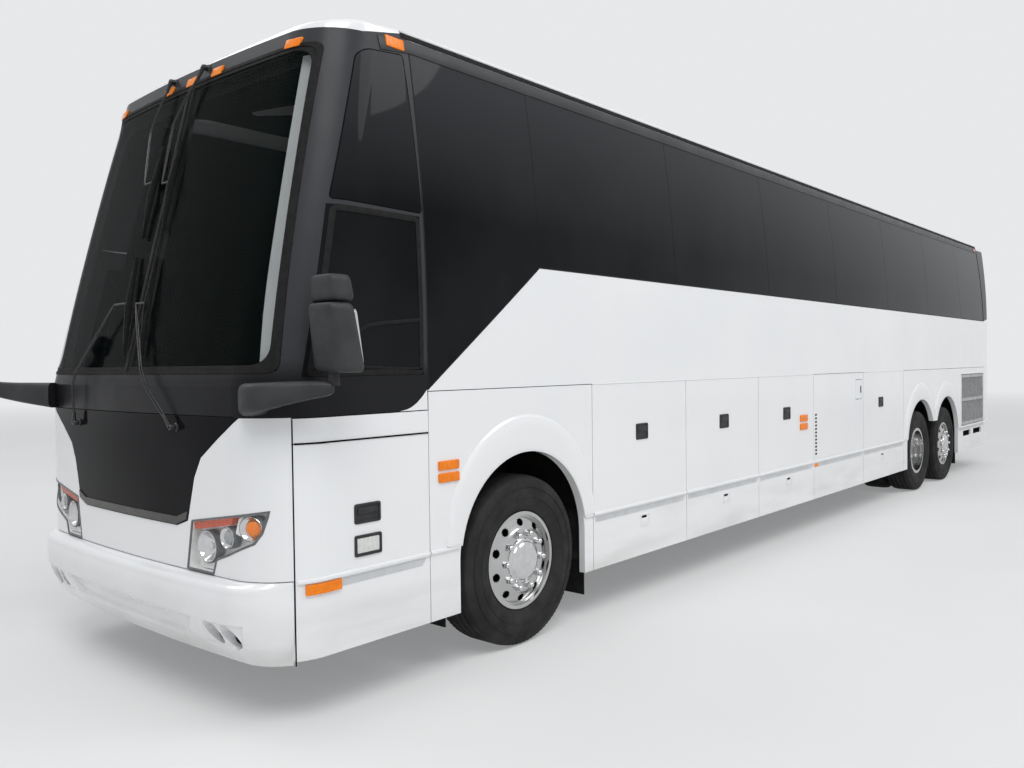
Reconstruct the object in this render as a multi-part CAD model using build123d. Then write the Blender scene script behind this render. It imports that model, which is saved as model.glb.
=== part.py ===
from build123d import *
import os
from math import atan2, cos, hypot, pi, sin, sqrt

# A 45 ft highway coach with three axles: twin-tyred drive axle, steered front axle and a single-tyred tag axle.
# Millimetres. +Z up, the front faces -Y, +X is the driver's (left) side, wheels on Z = 0.
# "Station" is the distance rearward of the front axle, and at() turns it into Y.

# Overall sizes
LENGTH = 13716
MIRROR_REACH = 330
FRONT_OVERHANG = 1850
TAG_SPACING = 1220
REAR_OVERHANG = 2620
WHEELBASE = LENGTH - FRONT_OVERHANG - TAG_SPACING - REAR_OVERHANG
HALF_WIDTH = 1295
HEIGHT = 3710
NOSE_Y = MIRROR_REACH / 2 - LENGTH / 2
REAR_Y = NOSE_Y + LENGTH
FRONT_AXLE_Y = NOSE_Y + FRONT_OVERHANG

# Clearances
SEAT_GAP = 0.3
SEAM = 5
DOOR_GAP = 8
PIN_CLEARANCE = 0.1

# Body shell
SKIN = 45
DOOR = 40
GLASS = 6
LEAN_START = 1900
LEAN_RADIUS = 10000
CROWN_RADIUS = 3900
EDGE_RADIUS = 60
NOSE_RADIUS = 12000
NOSE_CORNER = 320
NOSE_STEP = 190
TAIL_CORNER = 250
TAIL_INSET = 60
PLAN_PROUD = 1
RAKE_Z = 1630
RAKE = 0.254
DOME_RADIUS = 1400
DOME_DROP = 235
DOME_EDGE = 60
TAIL_DOME_RADIUS = 220
DOME_PROUD = 4

# Levels of the seams
SKIRT_Z = 335
BUMPER_TOP = 712
COMPARTMENT_TOP = 1357
CAP_LOW = 1482
SIDE_SEAM = 1580
GLASS_LOW = 2314
GLASS_TOP = HEIGHT - 305
ROOF_LOW = HEIGHT - 210
ROOF_NOSE = HEIGHT - 270
DOOR_TOP = 2515

# Stations of the seams
CORNER_S = -1646
PILLAR_S = -813
REAR_DOOR_END = WHEELBASE - 736
ENGINE_ROOM_S = REAR_DOOR_END - 1432
BAY_START = 683
BAY_STEPS = (0, 1238, 2514, 3763)
BAY_SPAN = 5175
BAYS = tuple(BAY_START + step * (ENGINE_ROOM_S - BAY_START) / BAY_SPAN for step in BAY_STEPS)
TAIL_S = LENGTH - FRONT_OVERHANG - 466
GRILLE_S = (TAIL_S - 1380, TAIL_S - 50)
PANE_START = 155
PANE_STEPS = (0, 1645, 3295, 4945, 6585, 8235, 9875, 11245)
PANE_SEAMS = (PILLAR_S,) + tuple(PANE_START + step * (TAIL_S - PANE_START) / PANE_STEPS[-1] for step in PANE_STEPS)

# Floors
BAY_FLOOR = 400
DECK = SIDE_SEAM + 20
DECK_THICK = 60
PLATFORM = 1300
PLATFORM_S = -100
SHEET = 20

# Wheels
TYRE_RADIUS = 520
TYRE_WIDTH = 312
RIM_RADIUS = 298
RIM_WIDTH = 256
BEAD_RADIUS = 286
WHEEL_X = 1117
TWIN_SPACING = 350
HAND_HOLES = 10
SPINDLE_RADIUS = 45
HUB_RADIUS = 110
KINGPIN_X = 880
KINGPIN_RADIUS = 25

# Arches
ARCH_RADIUS = 585
ARCH_CENTRE_Z = 605
FLARE_RADIUS = 673
FLARE_CENTRE_Z = 722
FLARE_PROUD = 12
HOUSING_X = 560
HOUSING_TOP = 1240
HOUSING_HALF = 650


def at(station):
    # Y of a station behind the front axle
    return FRONT_AXLE_Y + station


FRONT_WHEEL_Y = at(0)
DRIVE_WHEEL_Y = at(WHEELBASE)
TAG_WHEEL_Y = at(WHEELBASE + TAG_SPACING)
FLAT_REAR_Y = REAR_Y - TAIL_INSET


def block(x, y, z):
    # a box between two X, two Y and two Z values
    size = [max(pair) - min(pair) for pair in (x, y, z)]
    middle = [(pair[0] + pair[1]) / 2 for pair in (x, y, z)]
    return Pos(*middle) * Box(*size)


def mirrored(shape):
    return mirror(shape, about=Plane.YZ)


def both_sides(shape):
    return [shape, mirrored(shape)]


def across(points, x_low, x_high):
    # a prism along X from points in (Y, Z)
    face = Plane.YZ * make_face(Polyline(*points, close=True))
    return Pos(x_low, 0, 0) * extrude(face, x_high - x_low)


def along(points, y_low, y_high):
    # a prism along Y from points in (X, Z)
    face = Plane.XZ * make_face(Polyline(*points, close=True))
    return Pos(0, y_high, 0) * extrude(face, y_high - y_low)


def save(name, *shapes):
    solids = [part for shape in shapes for part in shape.solids()]
    result = solids[0] if len(solids) == 1 else Compound(children=solids)
    export_step(result, "parts/" + name + ".step")


def grown(points, grow):
    # an outline with each edge moved outwards, its corners mitred
    area = sum(a[0] * b[1] - b[0] * a[1] for a, b in zip(points, points[1:] + points[:1]))
    turn = 1 if area > 0 else -1
    lines = []
    for start, end in zip(points, points[1:] + points[:1]):
        length = hypot(end[0] - start[0], end[1] - start[1])
        normal = (turn * (end[1] - start[1]) / length, -turn * (end[0] - start[0]) / length)
        lines.append((normal, normal[0] * start[0] + normal[1] * start[1] + grow))
    corners = []
    for (first, reach), (second, far) in zip(lines[-1:] + lines[:-1], lines):
        cross = first[0] * second[1] - first[1] * second[0]
        corners.append(((reach * second[1] - far * first[1]) / cross, (far * first[0] - reach * second[0]) / cross))
    return corners


def on_arc(centre, radius, angle):
    return (centre[0] + radius * cos(angle), centre[1] + radius * sin(angle))


def polygon(radius, sides):
    # a regular polygon with a corner on X
    return make_face(Polyline(*[on_arc((0, 0), radius, 2 * pi * k / sides) for k in range(sides)], close=True))


def stacked(profile, sides):
    # frustums along Z between regular polygons; the profile gives (Z, radius)
    return loft([Pos(0, 0, z) * polygon(radius, sides) for z, radius in profile], ruled=True)


def prism(radius, length, sides):
    # a polygon's prism along Z, centred
    return Pos(0, 0, -length / 2) * extrude(polygon(radius, sides), length)


def bar(start, end, radius, sides):
    # a straight polygonal bar between two points
    path = Line(start, end)
    return extrude(Plane(origin=start, z_dir=path % 0) * polygon(radius, sides), path.length)


def section(inset):
    # the body's outline across its width: upright sides, a lean of large radius and a crowned roof
    side = HALF_WIDTH - inset
    lean = LEAN_RADIUS - inset
    crown = CROWN_RADIUS - inset
    lean_centre = (HALF_WIDTH - LEAN_RADIUS, LEAN_START)
    crown_centre = (0, HEIGHT - CROWN_RADIUS)
    # the lean and crown circles meet where both distances hold
    dx = crown_centre[0] - lean_centre[0]
    dz = crown_centre[1] - lean_centre[1]
    span = sqrt(dx * dx + dz * dz)
    reach = (span * span + lean * lean - crown * crown) / (2 * span)
    rise = sqrt(lean * lean - reach * reach)
    corner = (lean_centre[0] + (reach * dx - rise * dz) / span, lean_centre[1] + (reach * dz + rise * dx) / span)
    half_lean = atan2(corner[1] - lean_centre[1], corner[0] - lean_centre[0]) / 2
    bend = on_arc(lean_centre, lean, half_lean)
    ring = Polyline((-side, LEAN_START), (-side, 0), (side, 0), (side, LEAN_START))
    ring += ThreePointArc((side, LEAN_START), bend, corner)
    ring += ThreePointArc(corner, (0, HEIGHT - inset), (-corner[0], corner[1]))
    ring += ThreePointArc((-corner[0], corner[1]), (-bend[0], bend[1]), (-side, LEAN_START))
    face = make_face(ring)
    corners = [v for v in face.vertices() if v.Y > LEAN_START + 1]
    return Plane.XZ * fillet(corners, EDGE_RADIUS - inset)


def side_half(z):
    # half width at a height
    return HALF_WIDTH - LEAN_RADIUS + sqrt(LEAN_RADIUS ** 2 - max(z - LEAN_START, 0) ** 2)


def nose_plan(half, inset, reach):
    # seen from above: a bowed front with round corners, open to the rear; half is the half width without the inset
    half += PLAN_PROUD - inset
    centre_y = NOSE_Y + NOSE_RADIUS
    radius = NOSE_RADIUS - inset
    edge_y = centre_y - sqrt(radius * radius - half * half)
    ring = ThreePointArc((-half, edge_y), (0, centre_y - radius), (half, edge_y))
    ring += Polyline((half, edge_y), (half, reach), (-half, reach), (-half, edge_y))
    face = make_face(ring)
    corners = [v for v in face.vertices() if v.Y < edge_y + 1]
    return fillet(corners, NOSE_CORNER - inset)


def corner_centre():
    # centre of the left nose corner's curve, in (X, Y)
    x = HALF_WIDTH + PLAN_PROUD - NOSE_CORNER
    return (x, NOSE_Y + NOSE_RADIUS - sqrt((NOSE_RADIUS - NOSE_CORNER) ** 2 - x * x))


def corner_x(y):
    # X of the left nose corner at a Y ahead of its centre
    x, centre_y = corner_centre()
    return x + sqrt(NOSE_CORNER ** 2 - (centre_y - y) ** 2)


def tail_plan(inset, reach):
    # seen from above: a flat tail with rounded corners, open to the front
    half = HALF_WIDTH + PLAN_PROUD - inset
    rear = FLAT_REAR_Y - inset
    face = make_face(Polyline((-half, rear), (half, rear), (half, reach), (-half, reach), close=True))
    corners = [v for v in face.vertices() if v.Y > rear - 1]
    return fillet(corners, TAIL_CORNER - inset)


def dome_profile(inset):
    # seen from the side: the roof slopes down to the windshield and rolls down over the tail
    top = HEIGHT + PLAN_PROUD - inset
    front_r = DOME_RADIUS - inset
    centre_z = top - front_r
    # the outermost sloping arc starts at the raked front, a drop below the roof's top
    corner_z = HEIGHT + PLAN_PROUD - DOME_DROP
    base = NOSE_Y - DOME_PROUD
    corner_y = base + (corner_z - RAKE_Z) * RAKE
    centre_y = corner_y + sqrt(DOME_RADIUS ** 2 - (corner_z - centre_z) ** 2)
    # where the inset front line meets the inset arc
    lead = base + inset - RAKE_Z * RAKE - centre_y
    square = 1 + RAKE * RAKE
    half_b = lead * RAKE - centre_z
    rest = lead * lead + centre_z * centre_z - front_r * front_r
    meet_z = (-half_b + sqrt(half_b * half_b - square * rest)) / square
    meet_y = base + inset + (meet_z - RAKE_Z) * RAKE
    start = atan2(meet_z - centre_z, meet_y - centre_y)
    front_mid = on_arc((centre_y, centre_z), front_r, (start + pi / 2) / 2)
    rear_r = TAIL_DOME_RADIUS - inset
    rear_mid = (FLAT_REAR_Y + DOME_PROUD - inset - rear_r, top - rear_r)
    bend = on_arc(rear_mid, rear_r, pi / 4)
    low_y = meet_y - (meet_z - RAKE_Z) * RAKE
    ring = Polyline((meet_y, meet_z), (low_y, RAKE_Z), (-LENGTH, RAKE_Z), (-LENGTH, -SKIN), (LENGTH, -SKIN),
                    (LENGTH, rear_mid[1]), (rear_mid[0] + rear_r, rear_mid[1]))
    ring += ThreePointArc((rear_mid[0] + rear_r, rear_mid[1]), bend, (rear_mid[0], top))
    ring += Line((rear_mid[0], top), (centre_y, top))
    ring += ThreePointArc((centre_y, top), front_mid, (meet_y, meet_z))
    face = make_face(ring)
    corners = [v for v in face.vertices() if abs(v.X - meet_y) < 1 and abs(v.Y - meet_z) < 1]
    return Plane.YZ * fillet(corners, DOME_EDGE - inset)


def high_nose(inset):
    # above the windshield's foot the plan narrows with the body's lean and moves back with the rake
    count = int((HEIGHT + SKIN - RAKE_Z) / NOSE_STEP) + 1
    levels = [RAKE_Z + step * (HEIGHT + 2 * SKIN - RAKE_Z) / count for step in range(count + 1)]
    plans = [Pos(0, (z - RAKE_Z) * RAKE, z) * nose_plan(side_half(z), inset, LENGTH) for z in levels]
    return loft(plans, ruled=True)


def hull(inset):
    # the whole body as a solid, its surface moved inwards by the inset
    tube = extrude(section(inset), LENGTH, both=True)
    low_nose = extrude(nose_plan(HALF_WIDTH, inset, LENGTH), RAKE_Z)
    tail = extrude(tail_plan(inset, -LENGTH), HEIGHT + SKIN)
    dome = extrude(dome_profile(inset), HALF_WIDTH + SKIN, both=True)
    return tube & (low_nose + high_nose(inset)) & tail & dome


OUTER = hull(0)
UNDER_GLASS = hull(GLASS)
DOOR_INNER = hull(DOOR)
INNER = hull(SKIN)
LINING = hull(SKIN + SEAT_GAP)
SHELL = OUTER - INNER
GLASS_LAYER = OUTER - hull(GLASS - SEAT_GAP)
RECESS_LAYER = OUTER - UNDER_GLASS
OUTSIDE = hull(-SEAT_GAP)
LAMP_PROUD = 12
PADS = hull(-LAMP_PROUD) - OUTER
WIDE = (-2 * HALF_WIDTH, 2 * HALF_WIDTH)
FAR_FRONT = NOSE_Y - LENGTH
FAR_REAR = REAR_Y + LENGTH


def shell_zone(y, z, x=WIDE):
    return SHELL & block(x, y, z)


def roof_region():
    # above the gutter, with the front edge lower over the windshield
    step_y = at(PILLAR_S) - 40
    drop_y = at(PILLAR_S) - 300
    points = [(FAR_REAR, ROOF_LOW), (step_y, ROOF_LOW), (drop_y, ROOF_NOSE), (FAR_FRONT, ROOF_NOSE),
              (FAR_FRONT, 2 * HEIGHT), (FAR_REAR, 2 * HEIGHT)]
    return across(points, *WIDE)


ROOF_REGION = roof_region()


# Hinges: a pin on the outer skin line that its door is relieved round
HINGE_RADIUS = 4
HINGE_RELIEF = 4.3
BAY_DOORS = tuple(zip(BAYS, BAYS[1:])) + ((ENGINE_ROOM_S, REAR_DOOR_END),)


def hinge_rod(start, end, radius=HINGE_RADIUS):
    line = Line(start, end)
    return sweep(Plane(origin=start, z_dir=line % 0) * Circle(radius), path=line)


def side_rod(front, rear, z, radius=HINGE_RADIUS):
    # a pin along the left side
    return hinge_rod((HALF_WIDTH, front, z), (HALF_WIDTH, rear, z), radius)


def upright_rod(y, low, high, radius=HINGE_RADIUS, x=HALF_WIDTH):
    # a pin up the left side
    return hinge_rod((x, y, low), (x, y, high), radius)


# Side glass: a row of bonded panes with a sloped first pane
def pane_outline(index, grow):
    # corners of one pane in (Y, Z); the first one has a sloped lower edge
    front = at(PANE_SEAMS[index])
    rear = at(PANE_SEAMS[index + 1])
    front_low = SIDE_SEAM + SEAM if index == 0 else GLASS_LOW
    return grown([(front, front_low), (rear, GLASS_LOW), (rear, GLASS_TOP), (front, GLASS_TOP)], grow)


def glass_zone():
    # the whole black band of one side in (Y, Z)
    front, second = at(PANE_SEAMS[0]), at(PANE_SEAMS[1])
    points = [(front, SIDE_SEAM + SEAM), (second, GLASS_LOW), (FAR_REAR, GLASS_LOW), (FAR_REAR, GLASS_TOP),
              (front, GLASS_TOP)]
    return across(points, 0, 2 * HALF_WIDTH)


WINDOW_FRAME = 70


def side_walls():
    wall = shell_zone((at(PILLAR_S) + SEAM, at(TAIL_S)), (SIDE_SEAM + 2, ROOF_LOW), (0, 2 * HALF_WIDTH))
    wall -= RECESS_LAYER & glass_zone()
    for index in range(len(PANE_SEAMS) - 1):
        wall -= across(pane_outline(index, -WINDOW_FRAME), 0, 2 * HALF_WIDTH)
    for front, rear in BAY_DOORS:
        wall += side_rod(at(front) + SEAM, at(rear) - SEAM, SIDE_SEAM)
    return both_sides(wall)


def side_glass():
    panes = []
    for index in range(len(PANE_SEAMS) - 1):
        outline = pane_outline(index, -SEAM / 2)
        panes += both_sides(GLASS_LAYER & across(outline, 0, 2 * HALF_WIDTH))
    return panes


# Wheel arches in the skirt
def arch_cutter(stations, radius, centre_z, grow=0):
    # upright jambs under a round top, one for each wheel, joined low down
    cutter = None
    for station in stations:
        y = at(station)
        shape = Pos(0, y, centre_z) * Rot(0, 90, 0) * Cylinder(radius + grow, 4 * HALF_WIDTH)
        shape += block(WIDE, (y - radius - grow, y + radius + grow), (-SKIN, centre_z))
        cutter = shape if cutter is None else cutter + shape
    if len(stations) > 1:
        cutter += block(WIDE, (at(stations[0]), at(stations[1])), (-SKIN, DIVIDER_Z))
    return cutter


DIVIDER_Z = 880
REAR_STATIONS = (WHEELBASE, WHEELBASE + TAG_SPACING)
FRONT_ARCH = arch_cutter((0,), ARCH_RADIUS, ARCH_CENTRE_Z)
REAR_ARCH = arch_cutter(REAR_STATIONS, ARCH_RADIUS, ARCH_CENTRE_Z)


def flare(stations, opening):
    # a raised moulding round the top of the opening
    ring = arch_cutter(stations, FLARE_RADIUS, FLARE_CENTRE_Z) - opening
    return ring & block((HALF_WIDTH, HALF_WIDTH + FLARE_PROUD), (FAR_FRONT, FAR_REAR), (BUMPER_TOP, SIDE_SEAM))


def skirts():
    out = (0, 2 * HALF_WIDTH)
    top = SIDE_SEAM - SEAM / 2
    front = shell_zone((at(PILLAR_S) + SEAM / 2, at(BAYS[0]) - DOOR_GAP / 2), (SKIRT_Z, top), out)
    front = (front - FRONT_ARCH) + flare((0,), FRONT_ARCH)
    strip = shell_zone((at(CORNER_S) + SEAM / 2, at(PILLAR_S) - SEAM / 2),
                       (COMPARTMENT_TOP + 2, CAP_LOW - SEAM), out)
    strip += side_rod(corner_centre()[1] + 2 * SEAM, at(PILLAR_S) - 2 * SEAM, COMPARTMENT_TOP)
    vent = shell_zone((at(BAYS[-1]) + DOOR_GAP / 2, at(ENGINE_ROOM_S) - DOOR_GAP / 2), (SKIRT_Z, top), out)
    vent_left = (vent - block(out, FLAP_Y, FLAP_Z)) + upright_rod(FLAP_Y[0], FLAP_Z[0] + 10, FLAP_Z[1] - 10)
    rear = shell_zone((at(REAR_DOOR_END) + DOOR_GAP / 2, at(TAIL_S) - SEAM), (SKIRT_Z, top), out)
    rear = (rear - REAR_ARCH) + flare(REAR_STATIONS, REAR_ARCH)
    rear -= block(out, (at(GRILLE_S[0]) - DOOR_GAP / 2, at(GRILLE_S[1]) + DOOR_GAP),
                  (GRILLE_Z[0] - DOOR_GAP, GRILLE_Z[1] + DOOR_GAP))
    for slot in SLOTS:
        rear -= block(out, (at(slot[0]), at(slot[1])), SLOT_Z)
    rear += upright_rod(at(GRILLE_S[0]) - 2, GRILLE_Z[0] + 10, GRILLE_Z[1] - 10)
    return [front, mirrored(front), strip, vent_left, mirrored(vent), rear, mirrored(rear)]


FLAP_Y = (at(ENGINE_ROOM_S - 239), at(ENGINE_ROOM_S - 35))
FLAP_Z = (1285, 1503)
GRILLE_Z = (729, 1479)
SLOTS = ((TAIL_S - 1280, TAIL_S - 840), (TAIL_S - 690, TAIL_S - 200))
SLOT_Z = (560, 640)


def side_door(y, z, hinge_z):
    # a lift-up door in the side skirt, hinged along its top edge
    door = (OUTER - DOOR_INNER) & block((0, 2 * HALF_WIDTH), y, z)
    return door - side_rod(y[0] - SEAM, y[1] + SEAM, hinge_z, HINGE_RELIEF)


def save_bay_doors():
    names = (("bay_door_left_1", "bay_door_right_1"), ("bay_door_left_2", "bay_door_right_2"),
             ("bay_door_left_3", "bay_door_right_3"), ("rear_bay_door_left", "rear_bay_door_right"))
    for (front, rear), (left, right) in zip(BAY_DOORS, names):
        door = side_door((at(front) + DOOR_GAP / 2, at(rear) - DOOR_GAP / 2), (SKIRT_Z, SIDE_SEAM - 3), SIDE_SEAM)
        save(left, door)
        save(right, mirrored(door))


def upright(points, z_low, z_high):
    # a prism along Z from points in (X, Y)
    return Pos(0, 0, z_low) * extrude(make_face(Polyline(*points, close=True)), z_high - z_low)


def drum(centre, radius, length):
    # a cylinder along X
    return Pos(*centre) * Rot(0, 90, 0) * Cylinder(radius, length)


def front_prism(points):
    # a prism through the nose from points in (X, Z)
    return along(points, FAR_FRONT, at(-1000))


# The dark cap round the windshield, driver's window and entry
WINDSHIELD_Z = (1722, HEIGHT - 380)
WINDSHIELD_X = (1187, 1060)
POST = 32
REBATE = 18
DRIVER_WINDOW = ((-1576, 1690), (-1403, 2490), (-860, 2490), (-860, 1690))


def windshield_pane(grow):
    low, top = WINDSHIELD_Z
    wide_low, wide_top = WINDSHIELD_X
    return front_prism(grown([(POST, low), (wide_low, low), (wide_top, top), (POST, top)], grow))


def side_outline(stations, grow):
    # points in (station, Z) as an outline in (Y, Z)
    return grown([(at(station), z) for station, z in stations], grow)


def driver_window(grow):
    return across(side_outline(DRIVER_WINDOW, grow), 0, 2 * HALF_WIDTH)


def front_cap():
    cap = shell_zone((FAR_FRONT, at(PILLAR_S)), (CAP_LOW, HEIGHT)) - ROOF_REGION
    for pane in both_sides(windshield_pane(0)):
        cap -= pane
    for pane in both_sides(RECESS_LAYER & windshield_pane(REBATE + 2)):
        cap -= pane
    cap -= driver_window(0)
    cap -= RECESS_LAYER & driver_window(REBATE + 2)
    cap -= entry_prism(ENTRY_EDGE)
    return cap + entry_hinge(CAP_LOW + 20, LEAN_START - 30)


ENTRY_EDGE = 3.5
ENTRY_OUTLINE = ((CORNER_S, SKIRT_Z), (CORNER_S, RAKE_Z), (CORNER_S + (DOOR_TOP - RAKE_Z) * RAKE, DOOR_TOP),
                 (PILLAR_S - SEAM, DOOR_TOP), (PILLAR_S - SEAM, SKIRT_Z))


def entry_prism(grow):
    return across(side_outline(ENTRY_OUTLINE, grow), -2 * HALF_WIDTH, -HALF_WIDTH / 2)


PIN_IN = 1.5


def entry_hinge(low, high):
    corner_y = at(CORNER_S)
    pin_x = -(corner_x(corner_y) - PIN_IN)
    return hinge_rod((pin_x, corner_y, low), (pin_x, corner_y, high))


def windshield():
    return [GLASS_LAYER & pane for pane in both_sides(windshield_pane(REBATE))]


# Nose panel with its black mask and lamp openings; points in (X, Z)
MASK_HALF = ((530, 930), (626, 962), (690, 1180), (750, 1282), (885, 1376), (1078, 1500))
LAMP_OUTLINE = ((612, 717), (661, 968), (1190, 1052), (1184, 1018), (1162, 942), (1128, 892), (972, 826), (871, 790),
                (844, 712))
LAMP_BOWLS = ((782, 850, 84), (945, 915, 54), (1100, 966, 56))
LAMP_DEPTH = 30
BOWL_WALL = 7
BOWL_REACH = 800
BOWL_SIDES = 14


def mask_prism(grow):
    ring = list(MASK_HALF) + [(-x, z) for x, z in reversed(MASK_HALF)]
    return front_prism(grown(ring, grow))


def lamp_prism(grow=0):
    return front_prism(grown(list(LAMP_OUTLINE), grow))


def nose_panel():
    panel = shell_zone((FAR_FRONT, at(CORNER_S) - 3.5), (BUMPER_TOP + SEAM, CAP_LOW))
    panel -= mask_prism(SEAM / 2)
    for lamp in both_sides(lamp_prism()):
        panel -= lamp
    return panel + entry_hinge(BUMPER_TOP + 40, CAP_LOW - 20)


def nose_mask():
    return SHELL & mask_prism(-SEAM / 2) & block(WIDE, (FAR_FRONT, at(CORNER_S)), (0, CAP_LOW))


def headlamp():
    # a dished housing with a rim and three round reflector bowls
    opening = lamp_prism(-SEAT_GAP)
    lamp = (hull(LAMP_DEPTH) - INNER) & opening
    front = hull(3) - hull(LAMP_DEPTH + 1)
    lamp += front & (opening - lamp_prism(-BOWL_WALL))
    for x, z, radius in LAMP_BOWLS:
        bowl = prism(radius, BOWL_REACH, BOWL_SIDES) - prism(radius - BOWL_WALL, BOWL_REACH, BOWL_SIDES)
        lamp += (Pos(x, at(CORNER_S), z) * Rot(90, 0, 0) * bowl) & front & opening
    return lamp


# Bumpers
BUMPER_WALL = SKIN
BUMPER_BEND = 950
# levels of the front bumper: Z, how far its middle stands proud of the nose, and its ends of the corner
BUMPER_LEVELS = ((300, -60, -62), (335, -34, -40), (400, 8, -14), (480, 46, -2), (560, 62, 0), (650, 62, 0), (695, 46, 0),
                 (BUMPER_TOP, 12, 0))
INTAKE = ((-735, 515), (735, 515), (620, 385), (-620, 385))
INTAKE_DEPTH = 28
FOG_OUTLINE = ((800, 396), (1092, 410), (1100, 525), (796, 500))
FOG_DEPTH = 12
FOG_DUCTS = ((888, 458), (1020, 454))
DUCT_SIZE = (68, 33)
DUCT_TILT = -0.55
DUCT_SIDES = 12


def bumper_face(proud, side, z):
    # seen from above: a bow across the nose and one curve round each corner to the seams
    seam_y = at(CORNER_S) - 3.5
    centre = corner_centre()
    end = (corner_x(seam_y) + side, seam_y)
    bend_y = NOSE_Y - proud + NOSE_RADIUS - sqrt(NOSE_RADIUS ** 2 - BUMPER_BEND ** 2)
    middle = on_arc(centre, NOSE_CORNER + (proud + side) / 2, -pi * 0.3)
    ring = ThreePointArc((-BUMPER_BEND, bend_y), (0, NOSE_Y - proud), (BUMPER_BEND, bend_y))
    ring += ThreePointArc((BUMPER_BEND, bend_y), middle, end)
    ring += Polyline(end, (-end[0], end[1]))
    ring += ThreePointArc((-end[0], end[1]), (-middle[0], middle[1]), (-BUMPER_BEND, bend_y))
    return Pos(0, 0, z) * make_face(ring)


def bumper_solid(inset):
    # the bumper's outside moved inwards, solid to the seams; an inset one is a little taller
    over = 1 if inset else 0
    levels = list(BUMPER_LEVELS)
    low, top = levels[0], levels[-1]
    levels[0] = (low[0] - over,) + low[1:]
    levels[-1] = (top[0] + over,) + top[1:]
    return loft([bumper_face(proud - inset, side - inset, z) for z, proud, side in levels], ruled=True)


def oval(centre, size, tilt, sides):
    # points round a tilted oval in (X, Z)
    points = []
    for index in range(sides):
        angle = 2 * pi * index / sides
        u, v = size[0] * cos(angle), size[1] * sin(angle)
        points.append((centre[0] + u * cos(tilt) - v * sin(tilt), centre[1] + u * sin(tilt) + v * cos(tilt)))
    return points


def front_bumper():
    shell = bumper_solid(0) - bumper_solid(BUMPER_WALL)
    shell -= front_prism(INTAKE) - bumper_solid(INTAKE_DEPTH)
    for fog in both_sides(front_prism(FOG_OUTLINE) - bumper_solid(FOG_DEPTH)):
        shell -= fog
    for centre in FOG_DUCTS:
        for duct in both_sides(front_prism(oval(centre, DUCT_SIZE, DUCT_TILT, DUCT_SIDES))):
            shell -= duct
    return shell


TAIL_BUMPER_Z = (430, 752)


def rear_bumper():
    low, top = TAIL_BUMPER_Z
    plan = Pos(0, TAIL_INSET, low) * extrude(tail_plan(PLAN_PROUD, -LENGTH), top - low)
    hollow = Pos(0, TAIL_INSET, low - 1) * extrude(tail_plan(BUMPER_WALL, -LENGTH), top - low + 2)
    return (plan - hollow) & block(WIDE, (at(TAIL_S) + SEAM, FAR_REAR), (low, top))


# Tail
ENGINE_DOOR_X = 900
ENGINE_DOOR_Z = (765, 1900)
REAR_WINDOW_X = 850
REAR_WINDOW_Z = (2420, HEIGHT - 460)


def rear_zone(x_half, z, grow=0):
    return block((-x_half - grow, x_half + grow), (FLAT_REAR_Y - 4 * SKIN, FAR_REAR), (z[0] - grow, z[1] + grow))


def rear_cap():
    cap = shell_zone((at(TAIL_S), FAR_REAR), (TAIL_BUMPER_Z[1] + SEAM, ROOF_LOW))
    cap -= rear_zone(ENGINE_DOOR_X, ENGINE_DOOR_Z, DOOR_GAP)
    cap -= rear_zone(REAR_WINDOW_X, REAR_WINDOW_Z)
    cap -= RECESS_LAYER & rear_zone(REAR_WINDOW_X, REAR_WINDOW_Z, REBATE + 2)
    return cap + engine_hinge(ENGINE_DOOR_X, ENGINE_PIN)


ENGINE_PIN = 6


def engine_hinge(x_half, radius):
    z = ENGINE_DOOR_Z[1] + DOOR_GAP / 2
    return hinge_rod((-x_half, FLAT_REAR_Y, z), (x_half, FLAT_REAR_Y, z), radius)


def engine_door():
    door = (OUTER - DOOR_INNER) & rear_zone(ENGINE_DOOR_X, ENGINE_DOOR_Z)
    return door - engine_hinge(ENGINE_DOOR_X + DOOR_GAP, ENGINE_PIN + SEAT_GAP)


def rear_window():
    return GLASS_LAYER & rear_zone(REAR_WINDOW_X, REAR_WINDOW_Z, REBATE)


# Doors other than the luggage doors
def service_door():
    y = (at(CORNER_S) + SEAM / 2, at(PILLAR_S) - DOOR_GAP / 2)
    return side_door(y, (SKIRT_Z, COMPARTMENT_TOP - 3), COMPARTMENT_TOP)


DOOR_PANES = (((-1560, 1560), (-1560, 1650), (-1370, 2400), (-900, 2400), (-900, 1560)),
              ((-1560, 760), (-1560, 1440), (-900, 1440), (-900, 760)))


def door_pane(outline, grow):
    return across(side_outline(outline, grow), -2 * HALF_WIDTH, -HALF_WIDTH / 2)


def entry_door():
    door = (OUTER - DOOR_INNER) & entry_prism(-SEAM / 2)
    pin_x = corner_x(at(CORNER_S)) - PIN_IN
    door -= mirrored(upright_rod(at(CORNER_S), 0, DOOR_TOP + DOOR_GAP, HINGE_RELIEF, pin_x))
    for outline in DOOR_PANES:
        door -= door_pane(outline, 0)
        door -= RECESS_LAYER & door_pane(outline, REBATE + 2)
    return door


def entry_door_glass():
    return [GLASS_LAYER & door_pane(outline, REBATE) for outline in DOOR_PANES]


def filler_flap():
    y = (FLAP_Y[0] + SEAM / 2, FLAP_Y[1] - SEAM)
    flap = block((HALF_WIDTH - SHEET, HALF_WIDTH), y, (FLAP_Z[0] + SEAM, FLAP_Z[1] - SEAM))
    return flap - upright_rod(FLAP_Y[0], 0, HEIGHT, HINGE_RELIEF)


SLAT_PITCH = 47
SLAT_THICK = 12
GRILLE_RIM = 45


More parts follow.
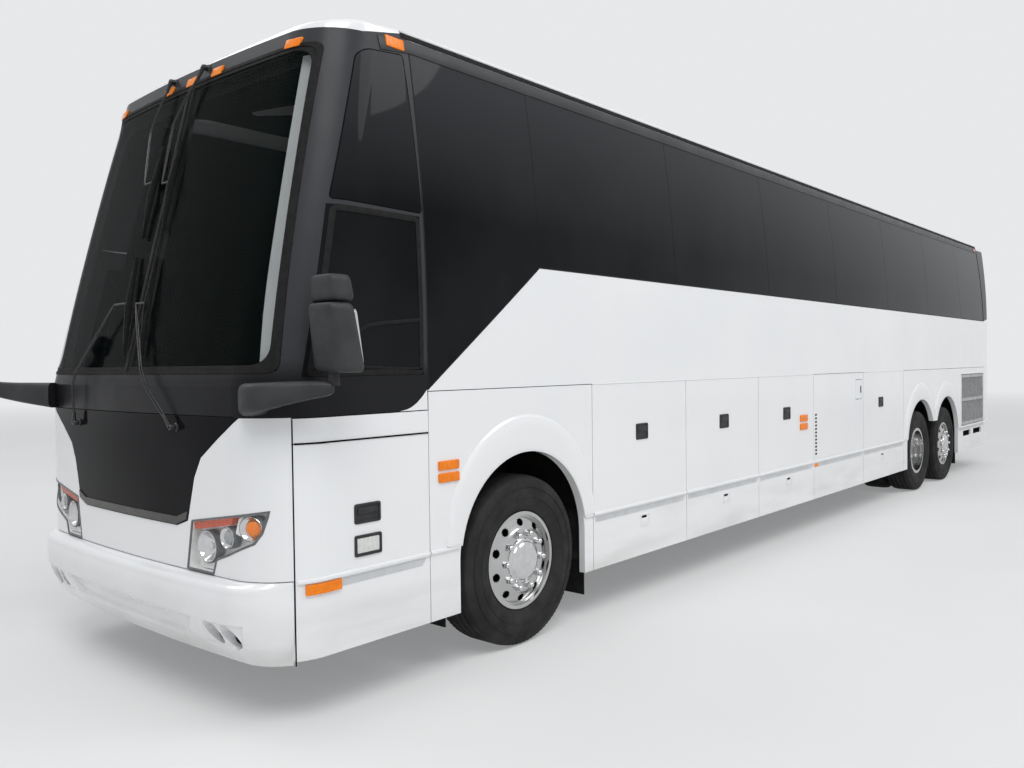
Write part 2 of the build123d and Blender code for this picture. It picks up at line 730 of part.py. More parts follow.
def grille_door():
    y = (at(GRILLE_S[0]), at(GRILLE_S[1]))
    door = block((HALF_WIDTH - DOOR, HALF_WIDTH), y, GRILLE_Z)
    inner_y = (y[0] + GRILLE_RIM, y[1] - GRILLE_RIM)
    low, top = GRILLE_Z
    middle = (low + top) / 2
    for z in ((low + GRILLE_RIM, middle - GRILLE_RIM / 2), (middle + GRILLE_RIM / 2, top - GRILLE_RIM)):
        door -= block((0, 2 * HALF_WIDTH), inner_y, z)
    count = int((inner_y[1] - inner_y[0]) / SLAT_PITCH)
    for index in range(count):
        slat_y = inner_y[0] + (index + 0.5) * (inner_y[1] - inner_y[0]) / count
        door += block((HALF_WIDTH - DOOR + 10, HALF_WIDTH - 8), (slat_y - SLAT_THICK / 2, slat_y + SLAT_THICK / 2),
                      (low + GRILLE_RIM / 2, top - GRILLE_RIM / 2))
    return door - upright_rod(y[0] - 2, 0, HEIGHT, HINGE_RELIEF)


# Underframe, floors and housings
RAIL_X = (330, 410)
RAIL_Z = (640, 780)
BULKHEADS = (BAYS[1], BAYS[2], BAYS[3] + 68, ENGINE_ROOM_S)
INSIDE = HALF_WIDTH - SKIN


def underframe():
    frame = None
    for y in ((FAR_FRONT, at(HOUSING_HALF)), (at(REAR_DOOR_END + 50), at(TAIL_S))):
        rail = block(RAIL_X, y, RAIL_Z)
        frame = rail if frame is None else frame + rail
    frame &= LINING
    # the rear ends drop under the engine door to carry the bumper
    frame += block(RAIL_X, (at(TAIL_S) - 1, REAR_Y - BUMPER_WALL - SEAT_GAP), (RAIL_Z[0], TAIL_BUMPER_Z[1] - 10))
    # the front ends reach on below the nose panel to carry the front bumper
    horn = block(RAIL_X, (FAR_FRONT, at(CORNER_S) + 1), (RAIL_Z[0], BUMPER_TOP - 20))
    frame += horn & bumper_solid(BUMPER_WALL + SEAT_GAP)
    frame += block(RAIL_X, (at(CORNER_S) - 20, at(CORNER_S) + 20), (RAIL_Z[0], BUMPER_TOP - 20))
    frame += mirrored(frame)
    for station in (-1500, -780, 560, WHEELBASE - 606, WHEELBASE + 614, WHEELBASE + 1834, TAIL_S - 100):
        frame += block((-RAIL_X[0] - 1, RAIL_X[0] + 1), (at(station) - 40, at(station) + 40), RAIL_Z)
    return frame


STEP_X = (-INSIDE + 5, -980, -710, -450, -420)
STEP_Z = (430, 720, 1010, PLATFORM)
STEP_THICK = 30
WELL_FRONT = CORNER_S + 20
WELL_END = -760


def stair_sheet(front, rear):
    # three treads and three risers folded from one sheet, as a profile seen from the front
    upper = []
    lower = []
    for index in range(3):
        tread = STEP_Z[index]
        upper += [(STEP_X[index], tread), (STEP_X[index + 1], tread)]
        lower += [(STEP_X[index] + STEP_THICK * (index > 0), tread - STEP_THICK),
                  (STEP_X[index + 1] + STEP_THICK, tread - STEP_THICK)]
    top = PLATFORM - SHEET - SEAT_GAP
    upper.append((STEP_X[3], top))
    lower.append((STEP_X[3] + STEP_THICK, top))
    return along(upper + lower[::-1], front, rear)


def floor_deck():
    # flat sheets that lie a seat gap apart: the raised deck, the cab platform and the step well
    under_deck = DECK - DECK_THICK
    edge = STEP_X[-1]
    step_y = at(PLATFORM_S)
    end_y = at(WELL_END)
    well_y = at(WELL_FRONT)
    sheets = [
        block((-INSIDE, INSIDE), (step_y, FAR_REAR), (under_deck, DECK)),
        block((edge, INSIDE), (step_y, step_y + SHEET), (PLATFORM - SHEET, under_deck - SEAT_GAP)),
        block((edge, INSIDE), (FAR_FRONT, step_y - SEAT_GAP), (PLATFORM - SHEET, PLATFORM)),
        block((-INSIDE, edge - SEAT_GAP), (end_y, step_y - SEAT_GAP), (under_deck, DECK)),
        block((-INSIDE, edge - SEAT_GAP), (end_y, end_y + SHEET), (BAY_FLOOR, under_deck - SEAT_GAP)),
        block((edge, edge + SHEET), (end_y, step_y - SEAT_GAP), (PLATFORM + SEAT_GAP, DECK)),
        along(((STEP_X[0], BAY_FLOOR), (STEP_X[0], STEP_Z[0]), (STEP_X[3], PLATFORM), (edge - SEAT_GAP, PLATFORM),
               (edge - SEAT_GAP, STEP_Z[2] - STEP_THICK), (STEP_X[1] + STEP_THICK, BAY_FLOOR)), well_y, well_y + SHEET)]
    sheets = [sheet & LINING for sheet in sheets]
    return sheets + [stair_sheet(well_y + SHEET + SEAT_GAP, end_y - SEAT_GAP) & LINING]


def bay_floor():
    floor = block((-INSIDE, INSIDE), (at(HOUSING_HALF) + SHEET, at(REAR_DOOR_END) + 30), (BAY_FLOOR - SHEET, BAY_FLOOR))
    for x in (-800, 0, 800):
        floor += block((x - 40, x + 40), (at(HOUSING_HALF) + SHEET, at(REAR_DOOR_END) + 30),
                       (SKIRT_Z, BAY_FLOOR - SHEET + 1))
    return floor


def bulkheads():
    walls = []
    top = DECK - DECK_THICK
    for station in BULKHEADS:
        walls.append(block((-INSIDE, INSIDE), (at(station) - SHEET / 2, at(station) + SHEET / 2), (BAY_FLOOR, top)))
    for y in ((at(HOUSING_HALF), at(HOUSING_HALF) + SHEET), (at(REAR_DOOR_END) + 30, at(REAR_DOOR_END) + 30 + SHEET)):
        walls.append(block((-INSIDE, INSIDE), y, (BAY_FLOOR - SHEET, top)))
    return walls


HOUSING_SHEET = 10
HOUSING_LOW = 800


def wheel_housing(front, rear):
    # the box over the wheels of one side, open outwards and below
    inside = HOUSING_X - HOUSING_SHEET
    roof = block((inside, INSIDE), (front, rear), (HOUSING_TOP, HOUSING_TOP + HOUSING_SHEET))
    wall = block((inside, HOUSING_X), (front, rear), (HOUSING_LOW, HOUSING_TOP + 1))
    ends = block((inside, INSIDE), (front - HOUSING_SHEET, front), (BAY_FLOOR, HOUSING_TOP + HOUSING_SHEET))
    ends += block((inside, INSIDE), (rear, rear + HOUSING_SHEET), (BAY_FLOOR, HOUSING_TOP + HOUSING_SHEET))
    return roof + wall + ends


def wheel_housings():
    front = wheel_housing(at(-HOUSING_HALF), at(HOUSING_HALF) - HOUSING_SHEET)
    rear = wheel_housing(DRIVE_WHEEL_Y - HOUSING_HALF, TAG_WHEEL_Y + HOUSING_HALF)
    return both_sides(front) + both_sides(rear)


ENGINE_X = 480
ENGINE_Y = (at(TAIL_S - 1250), at(TAIL_S + 50))
ENGINE_Z = (520, 1380)


def engine_block():
    low = RAIL_Z[1]
    body = block((-ENGINE_X, ENGINE_X), ENGINE_Y, (low, ENGINE_Z[1]))
    body += block((-RAIL_X[0] + 10, RAIL_X[0] - 10), (ENGINE_Y[0], at(TAIL_S - 200)), (ENGINE_Z[0], low + 1))
    return body - underframe()


# Axles
BEAM_Z = 440
EYE_RADIUS = 50
EYE_HALF = 58
SPRING_RADIUS = 140
DIFF_RADIUS = 170
DRUM_SIDES = 12


def front_axle():
    half = KINGPIN_X - EYE_RADIUS + 5
    beam = along(((-half, TYRE_RADIUS - 45), (-half, TYRE_RADIUS + 45), (-600, BEAM_Z + 40), (600, BEAM_Z + 40),
                  (half, TYRE_RADIUS + 45), (half, TYRE_RADIUS - 45), (600, BEAM_Z - 60), (-600, BEAM_Z - 60)),
                 FRONT_WHEEL_Y - 45, FRONT_WHEEL_Y + 45)
    bores = None
    for eye_x in (-KINGPIN_X, KINGPIN_X):
        beam += Pos(eye_x, FRONT_WHEEL_Y, TYRE_RADIUS) * Cylinder(EYE_RADIUS, 2 * EYE_HALF)
        bore = Pos(eye_x, FRONT_WHEEL_Y, TYRE_RADIUS) * Cylinder(KINGPIN_RADIUS + PIN_CLEARANCE, 4 * EYE_HALF)
        bores = bore if bores is None else bores + bore
    for x in (-sum(RAIL_X) / 2, sum(RAIL_X) / 2):
        beam += Pos(x, FRONT_WHEEL_Y, (BEAM_Z + RAIL_Z[0]) / 2) * prism(SPRING_RADIUS, RAIL_Z[0] - BEAM_Z, DRUM_SIDES)
    return beam - bores


def knuckle():
    # the left steering knuckle: two lugs on the kingpin, a web and the wheel spindle
    lug_gap = EYE_HALF + 6
    lug = 45
    shape = Pos(KINGPIN_X, FRONT_WHEEL_Y, TYRE_RADIUS) * Cylinder(KINGPIN_RADIUS, 2 * (lug_gap + lug))
    for low in (TYRE_RADIUS + lug_gap, TYRE_RADIUS - lug_gap - lug):
        shape += Pos(KINGPIN_X, FRONT_WHEEL_Y, low + lug / 2) * Cylinder(EYE_RADIUS, lug)
        shape += block((KINGPIN_X, KINGPIN_X + 90), (FRONT_WHEEL_Y - EYE_RADIUS, FRONT_WHEEL_Y + EYE_RADIUS),
                       (low, low + lug))
    shape += block((KINGPIN_X + 62, KINGPIN_X + 90), (FRONT_WHEEL_Y - 60, FRONT_WHEEL_Y + 60),
                   (TYRE_RADIUS - lug_gap - lug, TYRE_RADIUS + lug_gap + lug))
    spindle_end = HUB_FACE - 25
    start = KINGPIN_X + 85
    shape += drum(((start + spindle_end) / 2, FRONT_WHEEL_Y, TYRE_RADIUS), SPINDLE_RADIUS, spindle_end - start)
    return shape


def rear_axles():
    parts = []
    for y, hub_x in ((DRIVE_WHEEL_Y, DRIVE_HUB), (TAG_WHEEL_Y, HUB_FACE)):
        axle = Pos(0, y, TYRE_RADIUS) * Rot(0, 90, 0) * prism(70, 2 * (HOUSING_X + 20), DRUM_SIDES)
        axle += drum((0, y, TYRE_RADIUS), SPINDLE_RADIUS, 2 * (hub_x - 25))
        for x in (-sum(RAIL_X) / 2, sum(RAIL_X) / 2):
            spring_low = TYRE_RADIUS + 40
            axle += Pos(x, y, (spring_low + RAIL_Z[0]) / 2) * prism(SPRING_RADIUS, RAIL_Z[0] - spring_low, DRUM_SIDES)
        if y == DRIVE_WHEEL_Y:
            axle += Pos(0, y, TYRE_RADIUS) * Rot(90, 0, 0) * prism(DIFF_RADIUS, 2 * DIFF_RADIUS, DRUM_SIDES)
        parts.append(axle)
    return parts


# Wheels; profiles in (X from the wheel's middle, radius)
WHEEL_SIDES = 24
HUB_SIDES = 16
DISC_OFFSET = 60
DISC_THICK = 16
HAND_RADIUS = 30
HAND_CIRCLE = 440
HOLE_SIDES = 6
HUB_FACE = WHEEL_X + DISC_OFFSET + 60
TWIN_MIDDLE = WHEEL_X - TWIN_SPACING / 2
DRIVE_HUB = TWIN_MIDDLE + 190
BARREL_WALL = 14
LIP = 12
HUB_CLOSED = 24


def wheel_turned(profile, x, y, sides=WHEEL_SIDES):
    # a profile's polygonal turning round a wheel's axis, a corner of each polygon at the bottom
    return Pos(x, y, TYRE_RADIUS) * Rot(0, 90, 0) * stacked(profile, sides)


def tyre(x, y):
    half = TYRE_WIDTH / 2
    bore = BEAD_RADIUS + SEAT_GAP
    bead = RIM_WIDTH / 2 - LIP - 1
    body = wheel_turned([(-half, 415), (10 - half, TYRE_RADIUS - 32), (44 - half, TYRE_RADIUS), (half - 44, TYRE_RADIUS),
                         (half - 10, TYRE_RADIUS - 32), (half, 415)], x, y)
    wall = [(bead, RIM_RADIUS + 2), (bead + 19, RIM_RADIUS + 16), (half + 1, 398)]
    body -= wheel_turned(wall, x, y)
    body -= wheel_turned([(-place, radius) for place, radius in wall[::-1]], x, y)
    return body - wheel_turned([(-half, bore), (half, bore)], x, y)


def barrel(x, y):
    # a bead seat with a flange on its outer end, open through
    half = RIM_WIDTH / 2
    inner = BEAD_RADIUS - BARREL_WALL
    seat = wheel_turned([(-half, BEAD_RADIUS), (half - LIP + 1, BEAD_RADIUS)], x, y)
    seat += wheel_turned([(half - LIP, RIM_RADIUS), (half, RIM_RADIUS)], x, y)
    return seat - wheel_turned([(-half - 1, inner), (half + 1, inner)], x, y)


def disc(x, y):
    # a flat disc with hand holes, its middle plane at x
    seat = BEAD_RADIUS - BARREL_WALL + 1
    plate = wheel_turned([(-DISC_THICK / 2, seat), (DISC_THICK / 2, seat)], x, y)
    for index in range(HAND_HOLES):
        angle = 2 * pi * (index + 0.5) / HAND_HOLES
        spot = (x, y + HAND_CIRCLE / 2 * cos(angle), TYRE_RADIUS + HAND_CIRCLE / 2 * sin(angle))
        plate -= Pos(*spot) * Rot(0, 90, 0) * prism(HAND_RADIUS, 4 * DISC_THICK, HOLE_SIDES)
    return plate


def hub(x_low, x_high, y):
    # the hub's sleeve round the spindle, closed by a stepped cap
    sleeve = wheel_turned([(x_low, HUB_RADIUS), (x_high - 40, HUB_RADIUS)], 0, y, HUB_SIDES)
    return sleeve + wheel_turned([(x_high - 41, HUB_RADIUS * 0.8), (x_high, HUB_RADIUS * 0.7)], 0, y, HUB_SIDES)


def spindle_bore(x_low, x_high, y):
    length = x_high - HUB_CLOSED - x_low + 1
    return drum((x_low - 1 + length / 2, y, TYRE_RADIUS), SPINDLE_RADIUS + PIN_CLEARANCE, length)


def single_rim(y):
    disc_x = WHEEL_X + DISC_OFFSET
    span = (KINGPIN_X + 120, HUB_FACE, y)
    return barrel(WHEEL_X, y) + disc(disc_x, y) + hub(*span) - spindle_bore(*span)


def twin_rim(y):
    span = (HOUSING_X + 60, DRIVE_HUB, y)
    rim = barrel(WHEEL_X, y) + barrel(WHEEL_X - TWIN_SPACING, y)
    reach = (TWIN_SPACING - RIM_WIDTH) / 2 + 2
    seat = BEAD_RADIUS - BARREL_WALL + 1
    rim += wheel_turned([(-reach, seat), (reach, seat)], TWIN_MIDDLE, y)
    return rim + hub(*span) - spindle_bore(*span)


def save_wheels():
    front = at(0)
    for name, shapes in (("front_tyre", [tyre(WHEEL_X, front)]), ("front_rim", [single_rim(front)]),
                         ("drive_tyres", [tyre(WHEEL_X, DRIVE_WHEEL_Y), tyre(WHEEL_X - TWIN_SPACING, DRIVE_WHEEL_Y)]),
                         ("drive_rims", [twin_rim(DRIVE_WHEEL_Y)]), ("tag_tyre", [tyre(WHEEL_X, TAG_WHEEL_Y)]),
                         ("tag_rim", [single_rim(TAG_WHEEL_Y)]), ("knuckle", [knuckle()])):
        save(name + "_left", *shapes)
        save(name + "_right", *[mirrored(shape) for shape in shapes])


# Cab and cabin
def dashboard():
    face = across([(FAR_FRONT, PLATFORM), (FAR_FRONT, 1716), (at(-1520), 1716), (at(-1330), 1640), (at(-1360), 1560),
                   (at(-1480), PLATFORM)], -380, HALF_WIDTH)
    return face & LINING


WHEEL_CENTRE = (620, at(-1130), 1900)
WHEEL_TILT = 35
WHEEL_RADIUS = 230
WHEEL_HUB = 40
COLUMN = 520
RING_SIDES = 20


def steering_wheel():
    place = Pos(*WHEEL_CENTRE) * Rot(-WHEEL_TILT, 0, 0)
    wheel = stacked([(-13, WHEEL_RADIUS + 6), (0, WHEEL_RADIUS + 15), (13, WHEEL_RADIUS + 6)], RING_SIDES)
    wheel -= stacked([(-14, WHEEL_RADIUS - 5.5), (0, WHEEL_RADIUS - 15), (14, WHEEL_RADIUS - 5.5)], RING_SIDES)
    wheel += Pos(0, 0, -WHEEL_HUB / 2) * prism(50, WHEEL_HUB, DRUM_SIDES)
    for angle in (0, 120, 240):
        wheel += Rot(0, 0, angle - 90) * (Pos(WHEEL_RADIUS / 2 + 15, 0, -8) * Box(WHEEL_RADIUS - 30, 34, 10))
    return place * wheel


def steering_column():
    place = Pos(*WHEEL_CENTRE) * Rot(-WHEEL_TILT, 0, 0)
    return place * Pos(0, 0, -WHEEL_HUB - SEAT_GAP - COLUMN / 2) * prism(38, COLUMN, 8)


def driver_seat():
    y = at(-560)
    x = (390, 850)
    seat = block((470, 770), (y - 160, y + 180), (PLATFORM, PLATFORM + 260))
    seat += block(x, (y - 240, y + 240), (PLATFORM + 250, PLATFORM + 400))
    seat += across([(y + 190, PLATFORM + 330), (y + 300, PLATFORM + 330), (y + 420, PLATFORM + 1080),
                    (y + 330, PLATFORM + 1080)], *x)
    return seat


ROW_PITCH = 810
FIRST_ROW = 620
SEAT_ROWS = int((TAIL_S - FIRST_ROW - 900) / ROW_PITCH) + 1
SEAT_X = (230, 1190)


def passenger_seat(station):
    y = at(station)
    z = DECK
    profile = [(y - 230, z + 330), (y - 230, z + 450), (y + 180, z + 430), (y + 330, z + 1130), (y + 430, z + 1130),
               (y + 300, z + 330), (y + 120, z + 330), (y + 120, z), (y + 20, z), (y + 20, z + 330)]
    return across(profile, *SEAT_X)


def passenger_seats():
    seats = []
    for row in range(SEAT_ROWS):
        seats += both_sides(passenger_seat(FIRST_ROW + row * ROW_PITCH))
    return seats


def parcel_racks():
    outline = [(1195, HEIGHT - 320), (820, HEIGHT - 410), (800, HEIGHT - 380), (800, HEIGHT - 350),
               (1070, HEIGHT - 285), (1070, HEIGHT), (1195, HEIGHT)]
    rack = along(outline, at(100), at(TAIL_S) - 200) & LINING
    return both_sides(rack)


# Outside fittings
FLAP_LOW = 170


def mud_flaps():
    flaps = []
    for y in (at(HOUSING_HALF) - HOUSING_SHEET, at(-HOUSING_HALF) - HOUSING_SHEET, TAG_WHEEL_Y + HOUSING_HALF):
        low = FLAP_LOW if y > at(-HOUSING_HALF) else FLAP_LOW + 90
        flaps += both_sides(block((960, 1240), (y, y + HOUSING_SHEET), (low, BAY_FLOOR)))
    return flaps


def mirror_unit(tip, head, head_z):
    # an arm from the nose's corner to the foot of a two-part head; tip and head in (X, Y)
    x1, y1 = tip
    arm = upright([(1000, NOSE_Y + 200), (1000, NOSE_Y - 60), (1110, NOSE_Y - 70), (x1 + 60, y1 - 55), (x1 + 85, y1 + 10),
                   (x1 + 50, y1 + 45), (x1 - 40, y1 + 50), (1180, NOSE_Y + 250)], 1495, 1680)
    taper = along([(950, 1500), (x1 - 200, 1530), (x1 + 100, 1600), (x1 + 100, 1665), (x1 - 60, 1668), (950, 1612)],
                  FAR_FRONT, 0)
    arm &= taper
    arm -= OUTSIDE
    hx, hy = head
    lower = block((hx - 115, hx + 115), (hy - 70, hy + 55), (head_z, head_z + 310))
    upper = block((hx - 110, hx + 90), (hy - 65, hy + 50), (head_z + 318, head_z + 445))
    lower = chamfer(lower.edges(), 30)
    upper = chamfer(upper.edges(), 24)
    post = block((hx - 30, hx + 30), (hy - 25, hy + 15), (1630, head_z + 330))
    return arm + post + lower + upper


def mirrors():
    left = mirror_unit((1430, at(-1590)), (1480, at(-1560)), 1690)
    reach_y = NOSE_Y - MIRROR_REACH + 70
    right = mirror_unit((1430, reach_y + 10), (1480, reach_y), 1690)
    return [left, mirrored(right)]


MARKER_X = (-930, -270, 0, 270, 930)
MARKER_Z = (HEIGHT - 365, HEIGHT - 318)
SIDE_LAMPS = ((-746, -589, 1079, 1130), (-746, -589, 1146, 1197), (BAYS[3] - 343, BAYS[3] - 169, 1047, 1110),
              (BAYS[3] - 343, BAYS[3] - 169, 1128, 1191))


def amber_lamps():
    lamps = []
    for x in MARKER_X:
        lamps.append(PADS & block((x - 55, x + 55), (FAR_FRONT, at(-1200)), MARKER_Z))
    lamps += both_sides(PADS & block((0, 2 * HALF_WIDTH), (at(-975), at(-849)), (HEIGHT - 306, HEIGHT - 246)))
    for front, rear, low, top in SIDE_LAMPS:
        lamps += both_sides(PADS & block((0, 2 * HALF_WIDTH), (at(front), at(rear)), (low, top)))
    return lamps


TAIL_LAMPS = ((960, 1120, 900, 1060), (960, 1120, 1080, 1240), (960, 1120, 1260, 1420), (900, 1050, HEIGHT - 400, HEIGHT - 360))


def tail_lamps():
    lamps = []
    for left, right, low, top in TAIL_LAMPS:
        lamps += both_sides(PADS & block((left, right), (0, FAR_REAR), (low, top)))
    return lamps


# Wipers; columns: pivot, knee, blade joint, blade's two ends, each in (X, Z)
WIPERS = (((541, 1424), (234, 1726), (14, 2076), (80, 2328), (152, 1787)),
          ((-612, 1408), (-585, 1702), (-253, 2084), (-167, 2351), (-46, 1790)),
          ((151, HEIGHT - 295), (-30, HEIGHT - 601), (-2, HEIGHT - 952), (58, HEIGHT - 707), (78, HEIGHT - 1241)),
          ((-220, HEIGHT - 295), (-311, HEIGHT - 590), (-226, HEIGHT - 925), (-142, HEIGHT - 714), (-149, HEIGHT - 1252)))
WIPER_PROUD = 34
WIPER_BOSS = 15
WIPER_ARM = 7


def nose_point(spot, proud):
    # a point standing off the nose or the windshield
    x, z = spot
    y = NOSE_Y + NOSE_RADIUS - sqrt(NOSE_RADIUS ** 2 - x * x) + max(0, z - RAKE_Z) * RAKE
    return (x, y - proud, z)


def wipers():
    sets = []
    for pivot, knee, joint, top, low in WIPERS:
        route = [nose_point(spot, WIPER_PROUD) for spot in (pivot, knee, joint)]
        wiper = bar(route[0], route[1], WIPER_ARM, 6) + bar(route[1], route[2], WIPER_ARM, 6)
        wiper += bar(nose_point(top, WIPER_PROUD), nose_point(low, WIPER_PROUD), WIPER_ARM + 2, 6)
        blade_x = top[0] + (low[0] - top[0]) * (top[1] - joint[1]) / (top[1] - low[1])
        wiper += bar(route[2], nose_point((blade_x, joint[1]), WIPER_PROUD), WIPER_ARM, 6)
        boss = bar(nose_point(pivot, -WIPER_PROUD), nose_point(pivot, WIPER_PROUD + WIPER_ARM), WIPER_BOSS, 8)
        sets.append(wiper + (boss - OUTSIDE))
    return sets


os.makedirs("parts", exist_ok=True)

save("roof_shell", SHELL & ROOF_REGION)
save("side_walls", *side_walls())
save("side_glass", *side_glass(), GLASS_LAYER & driver_window(REBATE))
save("skirts", *skirts())
save("front_cap", front_cap())
save("windshield", *windshield())
save("nose_panel", nose_panel())
save("nose_mask", nose_mask())
save("headlamps", *both_sides(headlamp()))
save("front_bumper", front_bumper())
save("rear_cap", rear_cap())
save("rear_window", rear_window())
save("rear_bumper", rear_bumper())
save("amber_lamps", *amber_lamps())
save("tail_lamps", *tail_lamps())
save("mirrors", *mirrors())
save("wipers", *wipers())
save("mud_flaps", *mud_flaps())
save("underframe", underframe())
save("floor_deck", *floor_deck())
save("bay_floor", bay_floor())
save("bulkheads", *bulkheads())
save("wheel_housings", *wheel_housings())
save("engine_block", engine_block())
save("front_axle", front_axle())
save("rear_axles", *rear_axles())
save("dashboard", dashboard() + steering_column())
save("driver_seat", driver_seat())
save("passenger_seats", *passenger_seats())
save("parcel_racks", *parcel_racks())
save("steering_wheel", steering_wheel())
save("entry_door", entry_door())
save("entry_door_glass", *entry_door_glass())
save("service_door", service_door())
save("filler_flap", filler_flap())
save("engine_door", engine_door())
save("radiator_door_left", grille_door())
save("radiator_door_right", mirrored(grille_door()))
save_bay_doors()
save_wheels()
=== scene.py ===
"""A three-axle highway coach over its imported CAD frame. Metres; front -Y, left +X, ground Z = 0."""

import math

import bmesh
import bpy
import numpy as np
from mathutils import Matrix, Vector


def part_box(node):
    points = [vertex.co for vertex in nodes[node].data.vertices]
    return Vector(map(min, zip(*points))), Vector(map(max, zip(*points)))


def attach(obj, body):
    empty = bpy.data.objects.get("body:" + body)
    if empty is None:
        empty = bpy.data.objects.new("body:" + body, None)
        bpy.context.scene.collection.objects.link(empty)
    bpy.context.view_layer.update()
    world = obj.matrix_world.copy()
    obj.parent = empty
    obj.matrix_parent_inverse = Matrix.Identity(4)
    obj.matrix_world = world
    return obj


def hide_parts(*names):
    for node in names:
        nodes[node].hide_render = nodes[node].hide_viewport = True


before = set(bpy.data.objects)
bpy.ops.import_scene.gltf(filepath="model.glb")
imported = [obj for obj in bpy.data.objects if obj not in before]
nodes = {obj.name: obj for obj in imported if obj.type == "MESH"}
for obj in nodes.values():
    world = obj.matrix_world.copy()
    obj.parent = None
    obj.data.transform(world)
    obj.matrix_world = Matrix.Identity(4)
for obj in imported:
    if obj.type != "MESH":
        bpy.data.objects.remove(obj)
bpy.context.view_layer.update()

# Main sizes and stations of the coach
HALF_WIDTH = 1.295
HEIGHT = 3.710
NOSE_Y = -6.693
TAIL_Y = 6.963
FRONT_AXLE_Y = -4.843
NOSE_RADIUS = 12.0
NOSE_CORNER = 0.32
CROWN_RADIUS = 3.9
ROOF_EDGE = 0.06
RAKE_Z = 1.63
RAKE = 0.254
LEAN_Z = 1.9
LEAN_RADIUS = 10.0
WHEEL_Z = 0.52
WHEEL_X = 1.117
TWIN_SPACING = 0.35
DRIVE_STATION, TAG_STATION = 8.026, 9.246
WHEEL_Y = {"front": FRONT_AXLE_Y, "drive": FRONT_AXLE_Y + DRIVE_STATION, "tag": FRONT_AXLE_Y + TAG_STATION}
SIDES = (("left", 1), ("right", -1))


def at(station):
    """Y of a station behind the front axle."""
    return FRONT_AXLE_Y + station


# Camera
CAMERA_AT = (4.665, -8.8425, 1.720)
YAW, PITCH, ROLL = (math.radians(a) for a in (-41.03, -1.32, -0.711))
FOCAL_PX = 862.72
PHOTO_WIDTH = 1024
SENSOR = 36.0


def make_camera():
    """Yaw and pitch give the view direction, its cross products right and up, which the roll then turns."""
    look = np.array([math.sin(YAW) * math.cos(PITCH), math.cos(YAW) * math.cos(PITCH), math.sin(PITCH)])
    right = np.cross(look, [0, 0, 1])
    right /= np.linalg.norm(right)
    up = np.cross(right, look)
    turned_right = math.cos(ROLL) * right + math.sin(ROLL) * up
    turned_up = -math.sin(ROLL) * right + math.cos(ROLL) * up
    camera = bpy.data.objects.new("camera", bpy.data.cameras.new("camera"))
    camera.data.sensor_width = SENSOR
    camera.data.lens = FOCAL_PX / PHOTO_WIDTH * SENSOR
    camera.data.clip_end = 200
    axes = np.column_stack([turned_right, turned_up, -look])
    camera.matrix_world = Matrix.Translation(CAMERA_AT) @ Matrix(axes.tolist()).to_4x4()
    bpy.context.scene.collection.objects.link(camera)
    bpy.context.scene.camera = camera


make_camera()


# Materials
def new_finish(name):
    """A material with one principled shader, and the object coordinates that its patterns read."""
    material = bpy.data.materials.new(name)
    material.use_nodes = True
    tree = material.node_tree
    tree.nodes.clear()
    out = tree.nodes.new("ShaderNodeOutputMaterial")
    shader = tree.nodes.new("ShaderNodeBsdfPrincipled")
    tree.links.new(shader.outputs[0], out.inputs[0])
    place = tree.nodes.new("ShaderNodeTexCoord")
    return material, tree, shader, place.outputs["Object"]


def noise(tree, vector, scale, detail=3.0, stretch=None):
    """Cloudy noise on a vector, stretched by a factor along each axis where one is given."""
    if stretch:
        mapping = tree.nodes.new("ShaderNodeMapping")
        mapping.inputs["Scale"].default_value = stretch
        tree.links.new(vector, mapping.inputs["Vector"])
        vector = mapping.outputs[0]
    texture = tree.nodes.new("ShaderNodeTexNoise")
    texture.inputs["Scale"].default_value = scale
    texture.inputs["Detail"].default_value = detail
    tree.links.new(vector, texture.inputs["Vector"])
    return texture.outputs["Fac"]


def spread(tree, value, low, high, out_low=0.0, out_high=1.0):
    """Maps the range from low to high onto another, held at its ends."""
    ranged = tree.nodes.new("ShaderNodeMapRange")
    for key, number in (("From Min", low), ("From Max", high), ("To Min", out_low), ("To Max", out_high)):
        ranged.inputs[key].default_value = number
    tree.links.new(value, ranged.inputs["Value"])
    return ranged.outputs[0]


def mix_colour(tree, factor, first, second):
    """Blends two colours, each a tuple or a socket, by a factor socket."""
    mix = tree.nodes.new("ShaderNodeMix")
    mix.data_type = "RGBA"
    tree.links.new(factor, mix.inputs["Factor"])
    for key, colour in (("A", first), ("B", second)):
        socket = [s for s in mix.inputs if s.name == key and s.type == "RGBA"][0]
        if isinstance(colour, tuple):
            socket.default_value = (*colour, 1.0)
        else:
            tree.links.new(colour, socket)
    return [s for s in mix.outputs if s.type == "RGBA"][0]


def bump(tree, shader, height, strength, distance):
    """Lets a height pattern bend the shader's normal."""
    node = tree.nodes.new("ShaderNodeBump")
    node.inputs["Strength"].default_value = strength
    node.inputs["Distance"].default_value = distance
    tree.links.new(height, node.inputs["Height"])
    tree.links.new(node.outputs[0], shader.inputs["Normal"])


def combine(tree, operation, first, second):
    """One step of arithmetic on two values, each a number or a socket."""
    node = tree.nodes.new("ShaderNodeMath")
    node.operation = operation
    for socket, value in zip(node.inputs, (first, second)):
        if isinstance(value, (int, float)):
            socket.default_value = value
        else:
            tree.links.new(value, socket)
    return node.outputs[0]


def height_of(tree, vector):
    """The Z of a vector socket."""
    split = tree.nodes.new("ShaderNodeSeparateXYZ")
    tree.links.new(vector, split.inputs[0])
    return split.outputs["Z"]


